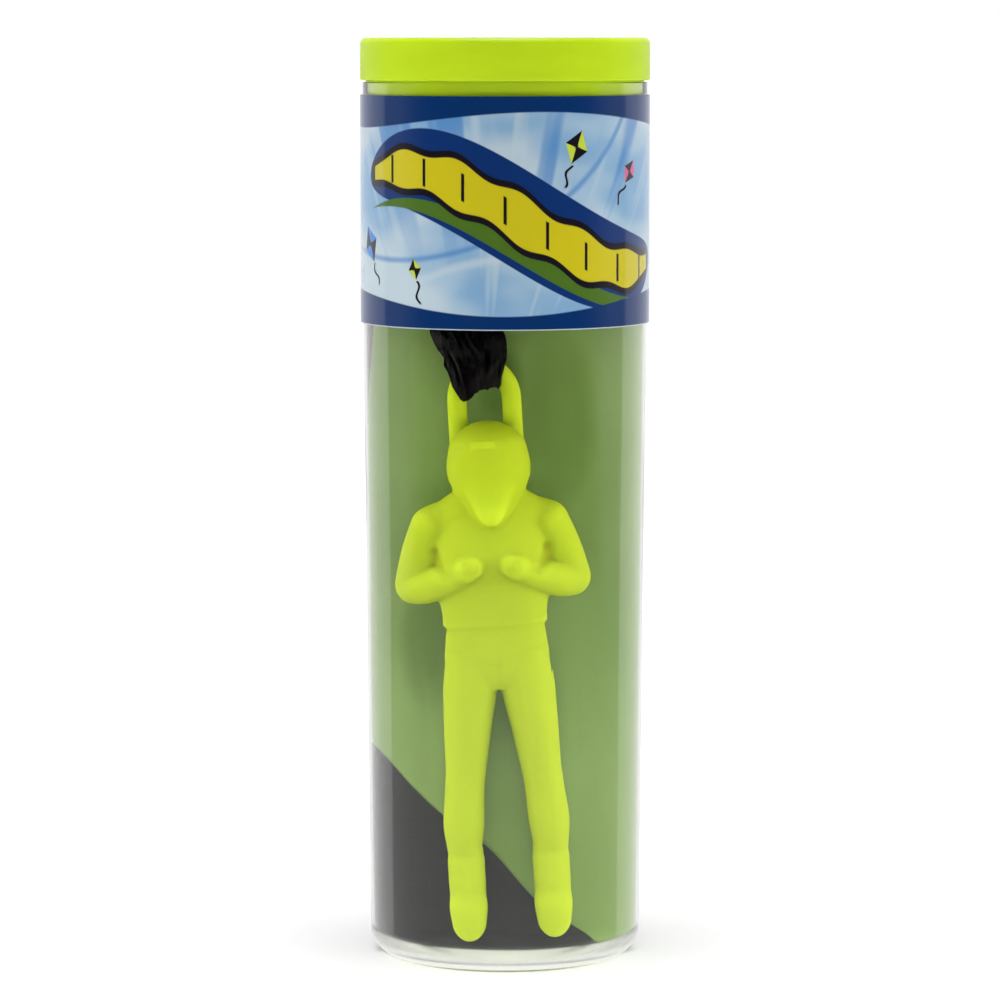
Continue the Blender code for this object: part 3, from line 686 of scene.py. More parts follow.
def tube_profile():
    """Outline of the tube's wall from the axis under the base, round the mouth, to the axis on the floor."""
    corner_r = bore(BASE_CORNER) + WALL - BASE_CORNER
    foot = corner_r - FOOT_INSET
    heights = (0.02, 0.04, 0.06, 0.08, 0.10, LABEL_BOTTOM_Z, 0.13, 0.145)
    inner_z = FLOOR_Z + FLOOR_CORNER
    lip = WALL / 2
    return [
        (0, PUSH_UP + GATE_RECESS), (0.0012, PUSH_UP + GATE_RECESS), (0.0014, PUSH_UP),
        *arc(foot - 3 * FOOT_ROUND, PUSH_UP - FOOT_ROUND, FOOT_ROUND, pi / 2, 0, 4),
        (foot - FOOT_ROUND, 0.0001), (foot, 0.0),
        *arc(corner_r, BASE_CORNER, BASE_CORNER, -pi / 2, 0, 20),
        *((bore(z) + WALL, z) for z in heights),
        *arc(bore(MOUTH_Z) + lip, MOUTH_Z - lip, lip, 0, pi),
        *((bore(z), z) for z in reversed(heights)),
        *arc(bore(inner_z) - FLOOR_CORNER, inner_z, FLOOR_CORNER, 0, -pi / 2, 16),
        (0, FLOOR_Z),
    ]


def make_tube(settings):
    """Clear tube with a mould parting line on each side."""
    sides = settings.line_turn, settings.line_turn + pi
    half = LINE_WIDTH / 2 / MOUTH_R
    turns = even_turns(200)
    for side in sides:
        turns = [t for t in turns if abs(t - side) > 3 * half]
        turns += [side + k * half for k in (-2, -1, 0, 1, 2)]
    turns.sort()

    def ridge(turn, r, z):
        near = min(abs(turn - side) for side in sides) / half
        out = r > bore(z) + WALL * 0.8 and 0.010 < z < MOUTH_Z - 0.002
        return settings.line_height * max(0.0, 1 - near / 2) * out

    bm = spun(tube_profile(), turns, ridge)
    bmesh.ops.recalc_face_normals(bm, faces=bm.faces)
    for face in bm.faces:
        height = face.calc_center_median().z
        if height < FLOOR_Z + FLOOR_CORNER:
            face.material_index = 1 if abs(face.normal.z) > 0.9 and height < FLOOR_Z + 0.0001 else 2
    finish = clear_plastic(settings, "clear_plastic", 0.0)
    tube = finish_piece("clear_tube_moulded", bm, finish, "canister", "clear_tube", 50)
    tube.data.materials.append(clear_base(settings))
    tube.data.materials.append(clear_plastic(settings, "clear_corner", settings.corner_frost))


def make_cap(settings):
    """Plug cap with soft edges, a shallow dished top and a fine step under its rim."""
    rim_z = MOUTH_Z + TOUCH_GAP
    plug_r = bore(PLUG_BOTTOM_Z) - TOUCH_GAP
    hollow_r = plug_r - 0.0014
    ceiling = TOP_Z - 0.0016
    edge, lip, bead, inner_round = 0.0011, 0.00035, 0.0003, 0.0010
    side_r = CAP_RIM_R - 0.00005
    dish_z, gate_z = TOP_Z - 0.00012, TOP_Z - 0.00004
    bm = spun([
        (0, ceiling), (hollow_r - 0.0012, ceiling),
        *arc(hollow_r - inner_round, ceiling - inner_round, inner_round, pi / 2, 0, 6),
        (hollow_r, PLUG_BOTTOM_Z + bead),
        *arc(hollow_r + bead, PLUG_BOTTOM_Z + bead, bead, pi, 1.5 * pi, 4),
        (plug_r - 2 * bead, PLUG_BOTTOM_Z), (plug_r - bead, PLUG_BOTTOM_Z + bead),
        (plug_r, PLUG_BOTTOM_Z + 0.0011), (plug_r, rim_z - 0.0002), (plug_r + 0.0002, rim_z),
        (CAP_RIM_R - 0.0006, rim_z),
        *arc(CAP_RIM_R - lip, rim_z + lip, lip, -pi / 2, 0, 5),
        (CAP_RIM_R, rim_z + 0.0030), (side_r, rim_z + 0.0055),
        *arc(side_r - edge, TOP_Z - edge, edge, 0, pi / 2),
        (CAP_RIM_R - 0.0022, TOP_Z), (CAP_RIM_R - 0.0028, dish_z), (0.004, dish_z),
        (0.0012, dish_z), (0.0010, gate_z), (0, gate_z),
    ], even_turns(180))
    finish_piece("plug_cap_moulded", bm, lime_plastic(settings), "cap", "plug_cap", 50)


def make_label(settings):
    """Printed film round the tube, its glued overlap at the back."""
    thick = 0.0002
    inner = MOUTH_R + TOUCH_GAP
    half_lap = 0.0040 / inner
    step = thick / inner
    heights = [LABEL_BOTTOM_Z + (LABEL_TOP_Z - LABEL_BOTTOM_Z) * i / 10 for i in range(11)]
    count = 220
    start, end = half_lap - pi, pi - half_lap
    turns = [start + (end - start) * i / count for i in range(count + 1)]
    turns += [end + step, pi - half_lap / 2, pi, pi + half_lap / 2, pi + half_lap - step]
    bm = bmesh.new()
    uv = bm.loops.layers.uv.new("label")
    columns = []
    for k, turn in enumerate(turns):
        film = thick * (2 if k > count else 1)
        around = [(film, z) for z in heights] + [(0, z) for z in reversed(heights)]
        columns.append([bm.verts.new(round_tube(turn, bore(z) + WALL + TOUCH_GAP + out, z)) for out, z in around])
    turns.append(turns[0] + 2 * pi)
    skin(bm, columns + columns[:1], uv=uv, place=lambda n, i, z: (turns[n] * inner, z - LABEL_BOTTOM_Z))
    finish_piece("label_sleeve_film", bm, printed_film(settings), "canister", "label_sleeve", 40)


# ---- rolled canopy ----

def roll_point(turn_share, z):
    """A point on the roll's surface, by the frame's own rule."""
    angle = 2 * pi * turn_share
    rise = (z - PACK_BOTTOM_Z) / PACK_HEIGHT
    bulge = PACK_FRONT_DEPTH
    bulge += (PACK_UPPER_DEPTH - PACK_FRONT_DEPTH) * smoothstep(BULGE_START_SHARE, BULGE_END_SHARE, rise)
    bulge += TOE_SPREAD * (1 - smoothstep(FLOOR_Z, FLOOR_Z + 0.0034, z))
    radius = free_bore(z) - PACK_CLEARANCE
    over = z - (PACK_TOP_Z - PACK_TOP_ROUND)
    if over > 0:
        full = radius
        radius -= PACK_TOP_ROUND - sqrt(max(PACK_TOP_ROUND ** 2 - over ** 2, 0))
        bulge *= radius / full
    fold = FOLD_DEPTH * (1 - cos(FOLD_COUNT * angle)) / 2 * abs(sin(angle))
    depth = bulge if sin(angle) > 0 else radius
    return Vector((-(radius - fold) * cos(angle), -(depth - fold) * sin(angle), z))


def layer_of(s):
    """How many layers in from the outside the cloth lies, s turns from its outer edge."""
    return floor(s) + smoothstep(0.84, 1.0, s - floor(s))


def cloth_point(settings, s, z):
    """A point on the rolled cloth, s turns from its outer edge."""
    turn = (settings.edge_turn + s) % 1.0
    middle = Vector((0, ROLL_MIDDLE_Y, z))
    out = roll_point(turn, z) - middle
    out.z = 0
    sample = Vector((s * 5.0, z * 38.0, 0.7))
    wrinkle = noise.noise(sample) * 0.6 + noise.noise(sample * 2.7) * 0.4
    upright = noise.noise(Vector((s * 15.0 + z * 14.0, z * 12.0, 4.1)))
    slack = settings.wrinkle * (0.9 + 0.5 * wrinkle + 0.9 * upright) * smoothstep(0.0, 0.012, z - PACK_BOTTOM_Z)
    if s < 1:
        slack *= max(sin(2 * pi * turn), 0)
    return middle + out * ((1 - layer_of(s) * settings.layer_share) * (1 - slack / out.length))


def panel_heights(low, high, rows):
    """Heights of a panel's rows, closer together along both edges."""
    edge = min(0.0060, (high - low) / 3)
    near = [edge * i / 6 for i in range(6)]
    middle = [low + edge + (high - low - 2 * edge) * i / (rows - 12) for i in range(rows - 11)]
    return [low + d for d in near] + middle + [high - d for d in reversed(near)]


def make_panel(settings, name, node, low_of, high_of, finish, rows, tucked=False):
    """One panel of the canopy, rolled up with the rest, as a thin sheet."""
    stations = [i / 168 for i in range(168)]
    stations += [1 + i / 34 for i in range((settings.turns - 1) * 34 + 1)]
    bm = bmesh.new()
    uv = bm.loops.layers.uv.new("cloth")
    columns = []
    for s in stations:
        turn = (settings.edge_turn + s) % 1.0
        low, high = low_of(s, turn), high_of(s, turn)
        column = []
        for z in panel_heights(low, high, rows):
            point = cloth_point(settings, s, z)
            if tucked:
                under = 1 - smoothstep(*TUCK_SPAN, min(z - low, high - z))
                point += Vector((-point.x, ROLL_MIDDLE_Y - point.y, 0)).normalized() * under * TUCK_DEPTH
            column.append(bm.verts.new(point))
        columns.append(column)
    middles = [column[rows // 2].co for column in columns]
    along = [0.0, *accumulate((there - here).length for here, there in zip(middles, middles[1:]))]
    skin(bm, columns, closed=False, uv=uv, place=lambda n, i, z: (along[n], z))
    blank = add_object(name + "_cut", to_mesh(bm, name))
    modify(blank, "SOLIDIFY", thickness=settings.thickness, offset=0.0)
    panel = dress(name, settled(blank), finish, "toy_pack", node, 60)


def make_canopy(settings):
    """The green centre panel and the two black side panels, rolled together."""
    def seam(table, inner_share, low_limit, high_limit):
        """Height of a seam: by the table outside, a level line further in."""
        rows = smooth_rows(table, 5)

        def height(s, turn):
            outer = read_table(rows, turn)
            share = outer + (inner_share - outer) * smoothstep(1.0, 3.5, s)
            return min(max(PACK_BOTTOM_Z + share * PACK_HEIGHT, low_limit), high_limit)

        return height

    def ragged(s, seed):
        fray = 0.0009 * (0.5 + 0.5 * noise.noise(Vector((s * 3.0, seed, 0.0))))
        return fray * smoothstep(1.0, 1.5, s)

    low_seam = seam(LOWER_SEAM_SHARES, 0.36, FLOOR_Z + 0.0008, PACK_TOP_Z)
    high_seam = seam(UPPER_SEAM_SHARES, 0.66, PACK_BOTTOM_Z, PACK_TOP_Z - HEM_EDGE)
    green = woven("green_nylon", settings.green, settings.green_pale, settings.weave, 0.25, 0.48, settings.PAINTED_SHADOWS)
    black = woven("black_nylon", settings.black, settings.black_pale, settings.weave, 0.15, 0.42)
    make_panel(settings, "canopy_lower_panel_cloth", "canopy_side_panel_lower",
               lambda s, turn: FLOOR_Z + 0.00022 + ragged(s, 3.0), low_seam, black, 22)
    make_panel(settings, "canopy_centre_panel_cloth", "canopy_centre_panel",
               lambda s, turn: max(low_seam(s, turn) - SEAM_LAP, FLOOR_Z + 0.0004),
               lambda s, turn: min(high_seam(s, turn) + SEAM_LAP, PACK_TOP_Z - 0.0002), green, 46, tucked=True)
    make_panel(settings, "canopy_upper_panel_cloth", "canopy_side_panel_upper",
               high_seam, lambda s, turn: PACK_TOP_Z - ragged(s, 8.0), black, 34)


# ---- gathered net and its tie ----

def net_rings(settings):
    """Deeply pleated rings of the gathered net, ragged at the lower end."""
    rings = []
    for height, x, w, y, t in smooth_rows(SKIRT_SECTIONS, 5):
        middle = HINGE + Vector((x * SKIRT_WIDTH, y * SKIRT_DEPTH, height))
        loose = 1 - 0.72 * exp(-((height - TIE_HEIGHT) / 0.0034) ** 2)
        ring = []
        for turn in even_turns(210):
            sway = 0.30 * noise.noise(Vector((cos(turn) * 1.6, sin(turn) * 1.6, height * 240)))
            wave = settings.pleats * (turn + sway)
            swell = 0.5 + 0.5 * cos(wave) + 0.28 * cos(2.4 * wave + 1.3 + height * 300)
            depth = settings.pleat_depth * loose * min(max(swell, 0.0), 1.15)
            size = 1.03 - depth * 0.30
            size += 0.05 * noise.noise(Vector((cos(turn) * 3, sin(turn) * 3, height * 420 + 9)))
            point = middle + Vector((w * SKIRT_WIDTH * size * cos(turn), t * SKIRT_DEPTH * size * sin(turn), 0))
            if height < HEM_TOP:
                fall = read_table(HEM_DROPS, max(point.x - HINGE.x, HEM_DROPS[0][0]))
                fray = 0.0005 * noise.noise(Vector((cos(turn) * 7, sin(turn) * 7, 2.0)))
                share = (height - SKIRT_SECTIONS[0][0]) / (HEM_TOP - SKIRT_SECTIONS[0][0])
                point.z = HINGE.z + fall + fray * (1 - share) + (HEM_TOP - fall) * share
            ring.append(point)
        rings.append(ring)
    return rings


def make_net(settings):
    """Gathered net, hung over the bar of the figure's loop."""
    bm = bmesh.new()
    uv = bm.loops.layers.uv.new("cloth")
    rows = [[bm.verts.new(point) for point in ring] for ring in net_rings(settings)]
    skin(bm, rows, uv=uv, place=lambda n, i, z: (i * 0.00045, z))
    for row, lift in ((rows[0], 0.0010), (rows[-1], -0.0018)):
        centre = middle_of([vert.co for vert in row])
        inner = row
        for size, rise in ((0.86, 0.45), (0.62, 0.8), (0.34, 1.0)):
            ring = []
            for vert in row:
                flat = centre + (vert.co - centre) * size
                flat.z = vert.co.z + (centre.z - vert.co.z) * rise + lift * rise
                ring.append(bm.verts.new(flat))
            skin(bm, [inner, ring])
            inner = ring
        close(bm, inner)
    bmesh.ops.recalc_face_normals(bm, faces=bm.faces)
    blank = add_object("net_blank", to_mesh(bm, "net_blank"))
    channel = bmesh.new()
    points = loop_points(-ARCH_RISE - 0.0070)
    add_loft(channel, tube_rings(points, [LOOP_BAR / 2 + 0.00012] * len(points), 28))
    channel.transform(FIGURE_PLACE)
    bmesh.ops.recalc_face_normals(channel, faces=channel.faces)
    cutter = add_object("loop_channel", to_mesh(channel, "loop_channel"))
    modify(blank, "BOOLEAN", operation="DIFFERENCE", object=cutter, solver="EXACT", use_self=True)
    made = settled(blank, cutter)
    net = dress("net_skirt_gathered", made, black_net(settings), "toy_pack", "net_skirt", 70)


def make_tie():
    """Two-ply thread wound three times round the gathered net."""
    _, x, w, y, t = SKIRT_SECTIONS[8]
    wound, pitch, radius = 3, 0.00105, 0.0003
    reach_x, reach_y = (half + TOUCH_GAP + radius for half in (w * SKIRT_WIDTH, t * SKIRT_DEPTH))
    start = HINGE + Vector((x * SKIRT_WIDTH, y * SKIRT_DEPTH, TIE_HEIGHT - wound * pitch / 2))
    turns = [2 * pi * i / 60 for i in range(wound * 60 + 1)]
    path = [start + Vector((reach_x * cos(a), reach_y * sin(a), pitch * a / (2 * pi))) for a in turns]
    twisted = []
    for k, ring in enumerate(tube_rings(path, [radius] * len(path), 14)):
        centre = middle_of(ring)
        lobes = [1 - 0.20 * (0.5 - 0.5 * cos(2 * (turn + k * 0.55))) for turn in even_turns(len(ring))]
        twisted.append([centre + (point - centre) * lobe for point, lobe in zip(ring, lobes)])
    bm = bmesh.new()
    add_loft(bm, twisted)
    finish_piece("skirt_tie_thread", bm, black_thread(), "toy_pack", "skirt_tie")


# ---- figure ----

def down(share):
    """Height in the figure's own frame, whose origin is on the middle of the loop's bar."""
    return LOOP_BAR / 2 - share * FIGURE_LENGTH


def loop_points(foot_z):
    """Centre line of the hanging loop."""
    radius = LOOP_WIDTH / 2
    middle_z = (foot_z - ARCH_RISE) / 2
    points = [(-radius, foot_z), (-radius, middle_z)]
    points += [(radius * cos(a), ARCH_RISE * sin(a) - ARCH_RISE) for a in (pi - pi * i / 24 for i in range(25))]
    points += [(radius, middle_z), (radius, foot_z)]
    return [Vector((x + LOOP_SHIFT, 0, z)) for x, z in points]


def limb_rings(table, side):
    """Rings of a round limb with domed ends."""
    rows = smooth_rows(table, 5)
    points = [Vector((side * x * BODY_WIDTH, -LOOP_BEHIND - f * BODY_DEPTH, down(d))) for x, d, f, r in rows]
    return tube_rings(points, [r * ARM_THICKNESS for x, d, f, r in rows], 28)


def level_rings(table, order, width, depth, sides=48, **fixed):
    """Level oval rings from a table whose columns are d down, x aside, f forward, w half width and t half depth."""
    rings = []
    for row in smooth_rows(table, 4):
        place = {"x": 0.0, "f": 0.0, **fixed, **dict(zip(order, row))}
        centre = Vector((place["x"] * width, -LOOP_BEHIND - place["f"] * depth, down(place["d"])))
        rings.append(oval(centre, place["w"] * width, place["t"] * depth, sides))
    return rings


def figure_rings():
    """Rings of every form of the figure, in its own frame."""
    body = BODY_WIDTH, BODY_DEPTH
    forms = [level_rings(TORSO_SHARES, "dwt", *body), level_rings(PELVIS_SHARES, "dwt", *body),
             level_rings(CHEST_SHARES, "dwtf", *body)]
    for table in (DOME_SHARES, GUARD_SHARES):
        forms.append(level_rings(table, "dwtf", HEAD_WIDTH, HEAD_DEPTH, x=HEAD_OFF_CENTRE_SHARE))
    forms.append(limb_rings(YOKE_SHARES, 1))
    loop = loop_points(down(UPRIGHT_END_SHARE))
    forms.append(tube_rings(loop, [LOOP_BAR / 2] * len(loop), 28))
    for side in (-1, 1):
        leg = [(d, side * x, w, t) for d, x, w, t in LEG_SHARES]
        forms.append(level_rings(leg, "dxwt", *body, sides=36))
        boot = level_rings(BOOT_SHARES, "dfwt", *body, sides=36, x=side * BOOT_MIDDLE_SHARE)
        toe = boot[-1]
        middle = middle_of(toe)
        fall = down(1.0) - middle.z
        for lift in (radians(a) for a in (12, 24, 36, 48, 60, 72, 82)):
            drop = Vector((0, fall * (1 - cos(lift)) / 2, fall * sin(lift)))
            boot.append([middle + (point - middle) * cos(lift) + drop for point in toe])
        forms.append(boot)
        forms.extend(limb_rings(table, side) for table in (UPPER_ARM_SHARES, FOREARM_SHARES))
    return forms


def line_gap(points, x, z):
    """Distance of each (x, z) to a line through the given points."""
    best = np.full(x.shape, 1.0)
    for (ax, az), (bx, bz) in zip(points, points[1:]):
        dx, dz = bx - ax, bz - az
        t = np.clip(((x - ax) * dx + (z - az) * dz) / (dx * dx + dz * dz), 0, 1)
        best = np.minimum(best, np.hypot(x - ax - t * dx, z - az - t * dz))
    return best


def figure_relief(co):
    """How far each point of the moulding stands out or is sunk, for creases, hems and seams."""
    x, y, z = co[:, 0], co[:, 1] + LOOP_BEHIND, co[:, 2]
    front = np.clip(-y / 0.0015, 0, 1)
    lift = np.zeros(len(co))

    def crease(points, depth, width, where=1.0):
        gap = line_gap([(a * BODY_WIDTH, down(d)) for a, d in points], x, z)
        lift[:] -= depth * np.exp(-(gap / width) ** 2) * where

    crease([(0.0, 0.528), (0.0, 0.56)], 0.00018, 0.0007, front)
    crease([(-0.30, 0.463), (0.30, 0.458)], 0.00016, 0.0006)
    for s in (-1, 1):
        leg = np.exp(-((x - s * BOOT_MIDDLE_SHARE * BODY_WIDTH) / 0.0045) ** 4)
        crease([(s * 0.25, 0.490), (s * 0.12, 0.515), (s * 0.02, 0.528)], 0.00013, 0.0010, front)
        crease([(s * 0.285, 0.325), (s * 0.262, 0.350), (s * 0.235, 0.362)], 0.00060, 0.0009, front)
        crease([(s * 0.10, 0.700), (s * 0.20, 0.712), (s * 0.30, 0.705)], 0.00006, 0.0012, leg)
        crease([(s * 0.10, 0.853), (s * 0.34, 0.853)], 0.00028, 0.0008, leg)
        crease([(s * 0.10, 0.918), (s * 0.34, 0.918)], 0.00045, 0.0015, leg * front)
        for finger in (0.078, 0.104, 0.130):
            crease([(s * finger, 0.342), (s * finger, 0.358)], 0.00014, 0.00028, front)
    for d in BROW_MARKS:
        mark = line_gap([(-0.0021, down(d)), (0.0013, down(d))], x, z)
        lift += 0.00038 * np.exp(-(mark / 0.00028) ** 2) * front
    return lift


def roundness(mesh, co, normals):
    """How far the surface round each point lies in front of it: more than 0 in a hollow, less on a tip."""
    edges = np.zeros(len(mesh.edges) * 2, np.int64)
    mesh.edges.foreach_get("vertices", edges)
    a, b = edges[::2], edges[1::2]
    count = np.bincount(edges, minlength=len(co)).astype(float)

    def average(values):
        made = np.zeros_like(values)
        np.add.at(made, a, values[b])
        np.add.at(made, b, values[a])
        return made / (count[:, None] if values.ndim == 2 else count)

    wide = co
    for _ in range(14):
        wide = average(wide)
    hollow = ((wide - co) * normals).sum(1)
    for _ in range(3):
        hollow = average(hollow)
    return hollow


def read_vectors(items, key):
    values = np.zeros(len(items) * 3)
    items.foreach_get(key, values)
    return values.reshape(-1, 3)


def make_figure(settings):
    """The moulded parachutist with its hanging loop, melted together from its forms."""
    bm = bmesh.new()
    for rings in figure_rings():
        add_loft(bm, rings)
    bmesh.ops.recalc_face_normals(bm, faces=bm.faces)
    blank = add_object("figure_blank", to_mesh(bm, "figure_blank"))
    modify(blank, "REMESH", mode="VOXEL", voxel_size=settings.grain)
    modify(blank, "SMOOTH", factor=0.5, iterations=settings.softening)
    made = settled(blank)
    co = read_vectors(made.vertices, "co")
    normals = read_vectors(made.vertex_normals, "vector")
    co += normals * (figure_relief(co) + SMOOTHING_LOSS)[:, None]
    # the hollow and tip attributes carry painted shade in hollows and painted light on the tips and on the chin, as if
    # lit from below
    hollow = roundness(made, co, normals)
    heights, shares = zip(*((down(d), share) for d, share in CHIN_PAINTED_LIGHT))
    chin = np.interp(co[:, 2], heights, shares) * np.interp(-co[:, 1], CHIN_FRONT, (0, 1))
    tip = np.clip((-hollow - 0.00007) / 0.00013, 0, 1)
    made.vertices.foreach_set("co", co.ravel())
    for name, values in (("hollow", np.clip((hollow - 0.00008) / 0.00045, 0, 1)),
                         ("tip", np.maximum(tip * TIP_PAINTED_LIGHT, chin))):
        made.attributes.new(name, "FLOAT", "POINT").data.foreach_set("value", values)
    made.transform(FIGURE_PLACE)
    made.update()
    dress("parachutist_figure_moulded", made, neon_plastic(settings), "figure", "parachutist_figure")


# ---- stage ----

def mirrored_level(f, share):
    """1 to a plain look, and share to a look by way of a mirror."""
    return 1.0 - f.math("GREATER_THAN", f.ray("Glossy Depth"), 0.5) * (1.0 - share)


def backdrop_share(f, direction):
    """How much of the white surroundings a reflection meets in a direction: they stand behind the object."""
    _, behind, _ = f.parts(f.add("VectorMath", {0: direction}, operation="NORMALIZE"))
    return f.largest(behind.step(0.31, 0.385), behind.step(-0.45, 0.10) * 0.4)


def make_stage(settings):
    """Pale floor and surroundings, soft lamps and the camera."""
    f = Finish("pale_floor", roughness=0.8)
    place = f.add("NewGeometry", output="Position")
    distance = f.add("VectorMath", {0: place}, "Value", operation="LENGTH")
    camera_ray = f.ray("Is Camera Ray")
    diffuse = f.add("BsdfDiffuse", {"Color": f.mix(f.cloud(place, 40.0, 2.0), [0.80] * 3, [0.79] * 3)})
    level = distance.step(0.05, 0.5) * (1.0 - settings.floor_lift) + settings.floor_lift
    plain = f.add("AddShader", {0: diffuse, 1: f.add("Emission", {"Strength": camera_ray * level})})
    table = distance.step(0.80, 0.20) * settings.table_level
    x, y, _ = f.parts(place)
    from_side = f.vector(abs(x) - TUBE_SIDE[0], y - TUBE_SIDE[1])
    share = f.largest(backdrop_share(f, from_side), table, distance.step(0.06, 0.03))
    mirror = f.add("Emission", {"Strength": mirrored_level(f, share)})
    indirect = 1.0 - f.largest(camera_ray, f.ray("Is Diffuse Ray"))
    f.surface(f.add("MixShader", {0: indirect, 1: plain, 2: mirror}))
    bm = bmesh.new()
    bmesh.ops.create_circle(bm, cap_ends=True, radius=60.0, segments=96)
    mesh = to_mesh(bm, "floor")
    mesh.materials.append(f.material)
    add_object("floor", mesh)

    scene = bpy.context.scene
    scene.world = bpy.data.worlds.new("studio")
    scene.world.use_nodes = True
    w = Nodes(scene.world.node_tree)
    seen = mirrored_level(w, backdrop_share(w, w.add("TexCoord", output="Generated")))
    background = w.tree.nodes["Background"].inputs
    w.put(background["Strength"], seen - w.ray("Is Diffuse Ray") * (seen - settings.world_level))
    w.put(background["Color"], (1.0, 1.0, 1.0, 1.0))

    for name, place, width, height, power in settings.LAMPS:
        lamp = bpy.data.lights.new(name, "AREA")
        lamp.shape = "RECTANGLE"
        lamp.size, lamp.size_y = width, height
        lamp.energy = power
        item = add_object(name, lamp)
        item.visible_glossy = item.visible_transmission = name == "overhead_softbox"
        item.visible_camera = False
        item.location = place
        item.rotation_euler = (Vector((0, 0, 0.08)) - Vector(place)).to_track_quat("-Z", "Y").to_euler()

    camera = bpy.data.cameras.new("front_camera")
    camera.lens = CAMERA_LENS
    camera.sensor_width = 36.0
    camera.clip_start = 0.05
    scene.camera = add_object("front_camera", camera)
    scene.camera.location = CAMERA_PLACE
    scene.camera.rotation_euler = (radians(90 - CAMERA_PITCH), 0, 0)
    scene.view_settings.view_transform = "Standard"


# ---- settings ----

def tint(label, text, default):
    return FloatVectorProperty(name=label, description=text, default=default, size=3, subtype="COLOR", min=0, max=1)


def size(label, text, default):
    return FloatProperty(name=label, description=text, default=default, subtype="DISTANCE", unit="LENGTH", precision=5)


def factor(label, text, default):
    return FloatProperty(name=label, description=text, default=default, subtype="FACTOR", min=0, max=1)


class TubeSettings(bpy.types.PropertyGroup):
    colour: tint("Tint", "Colour of the clear plastic", (0.985, 0.992, 0.975))
    base_colour: tint("Base tint", "Colour of the milky base", (0.91, 0.93, 0.845))
    corner_frost: factor("Frost", "Roughness of the moulding round the base", 0.22)
    line_turn: FloatProperty(name="Parting line", description="Where the mould line runs, round from the front",
                             default=radians(19.5), subtype="ANGLE")
    line_height: size("Line height", "How far the mould line stands out", 0.000008)


class CapSettings(bpy.types.PropertyGroup):
    colour: tint("Colour", "Colour of the cap's plastic", (0.463, 0.652, 0.006))


class LabelSettings(bpy.types.PropertyGroup):
    band: tint("Band", "Blue of both edges", (0.0032, 0.025, 0.108))
    sky: tint("Sky", "Darker blue of the sky", (0.18, 0.33, 0.50))
    cloud: tint("Cloud", "Pale blue of the clouds", (0.43, 0.52, 0.57))
    ray: tint("Ray", "Blue of the slanting rays", (0.055, 0.19, 0.44))
    field: tint("Field", "Blue behind the ribbon", (0.005, 0.027, 0.125))
    strand: tint("Strand", "Green strand of the ribbon", (0.06, 0.13, 0.015))
    ribbon: tint("Ribbon", "Yellow of the ribbon", (0.50, 0.43, 0.012))
    outline: tint("Outline", "Dark edges", (0.008, 0.006, 0.010))
    margin: tint("Margin", "Bare film at the lower edge", (0.40, 0.46, 0.50))
    kite_blue: tint("Blue kite", "Colour of one kite", (0.05, 0.20, 0.55))
    kite_pink: tint("Pink kite", "Colour of one kite", (0.62, 0.10, 0.22))
    kite_lime: tint("Lime kite", "Colour of one kite", (0.45, 0.55, 0.05))
    KITES = (  # colour, place round and up the label in millimetres, size and tilt
        ("kite_blue", -30.0, 14.5, 3.6, radians(25)), ("kite_lime", 13.0, 32.0, 3.2, radians(-20)),
        ("kite_pink", 26.0, 27.5, 2.5, radians(-35)), ("kite_lime", -17.0, 10.5, 2.0, radians(10)),
    )


class CanopySettings(bpy.types.PropertyGroup):
    green: tint("Green", "Centre panel", (0.218, 0.346, 0.078))
    green_pale: tint("Pale green", "Centre panel where it is lighter", (0.270, 0.402, 0.110))
    # painted shadows that the figure casts on the cloth's front
    PAINTED_SHADOWS = (  # darker patches: middle x and z, reach in x and z, and depth
        (-0.0138, 0.0575, 0.0050, 0.0120, 0.75), (0.0100, 0.0985, 0.0060, 0.0160, 0.55),
        (-0.0010, 0.1050, 0.0040, 0.0060, 0.6), (0.0075, 0.0440, 0.0035, 0.0120, 0.3),
    )
    black: tint("Black", "Side panels", (0.019, 0.019, 0.019))
    black_pale: tint("Pale black", "Side panels where they are lighter", (0.025, 0.025, 0.025))
    canopy_side: size("Side", "Side of the square canopy, three panels wide", 0.400)
    thickness: size("Thickness", "Thickness of the cloth", 0.00012)
    weave: size("Weave", "Distance between threads", 0.00022)
    wrinkle: size("Wrinkles", "Depth of the loose wrinkles", 0.00045)
    turns: IntProperty(name="Turns", description="How often the cloth goes round", default=14, min=2)
    layer_share: factor("Layer share", "Distance between layers as a share of the radius", 0.064)
    edge_turn: factor("Outer edge", "Where the cloth's outer edge lies, as a share of a turn", 0.75)


class NetSettings(bpy.types.PropertyGroup):
    colour: tint("Colour", "Colour of the net", (0.0016, 0.0010, 0.0013))
    mesh_pitch: size("Mesh", "Distance between the net's threads", 0.00035)
    pleats: IntProperty(name="Pleats", description="Folds round the gathered net", default=11, min=3)
    pleat_depth: factor("Pleat depth", "Depth of the folds", 0.55)


class FigureSettings(bpy.types.PropertyGroup):
    colour: tint("Colour", "Neon moulding plastic", (0.49, 0.61, 0.018))
    # painted shade for the hollows, and painted light for the tips and the chin
    painted_hollow_shade: tint("Hollows", "The same plastic in its hollows", (0.43, 0.38, 0.003))
    painted_tip_light: tint("Tips", "The same plastic at its rounded tips", (0.61, 0.77, 0.028))
    grain: size("Grain", "Size of the cells that melt the forms together", 0.00032)
    softening: IntProperty(name="Softening", description="How often the moulding is smoothed", default=10, min=0)


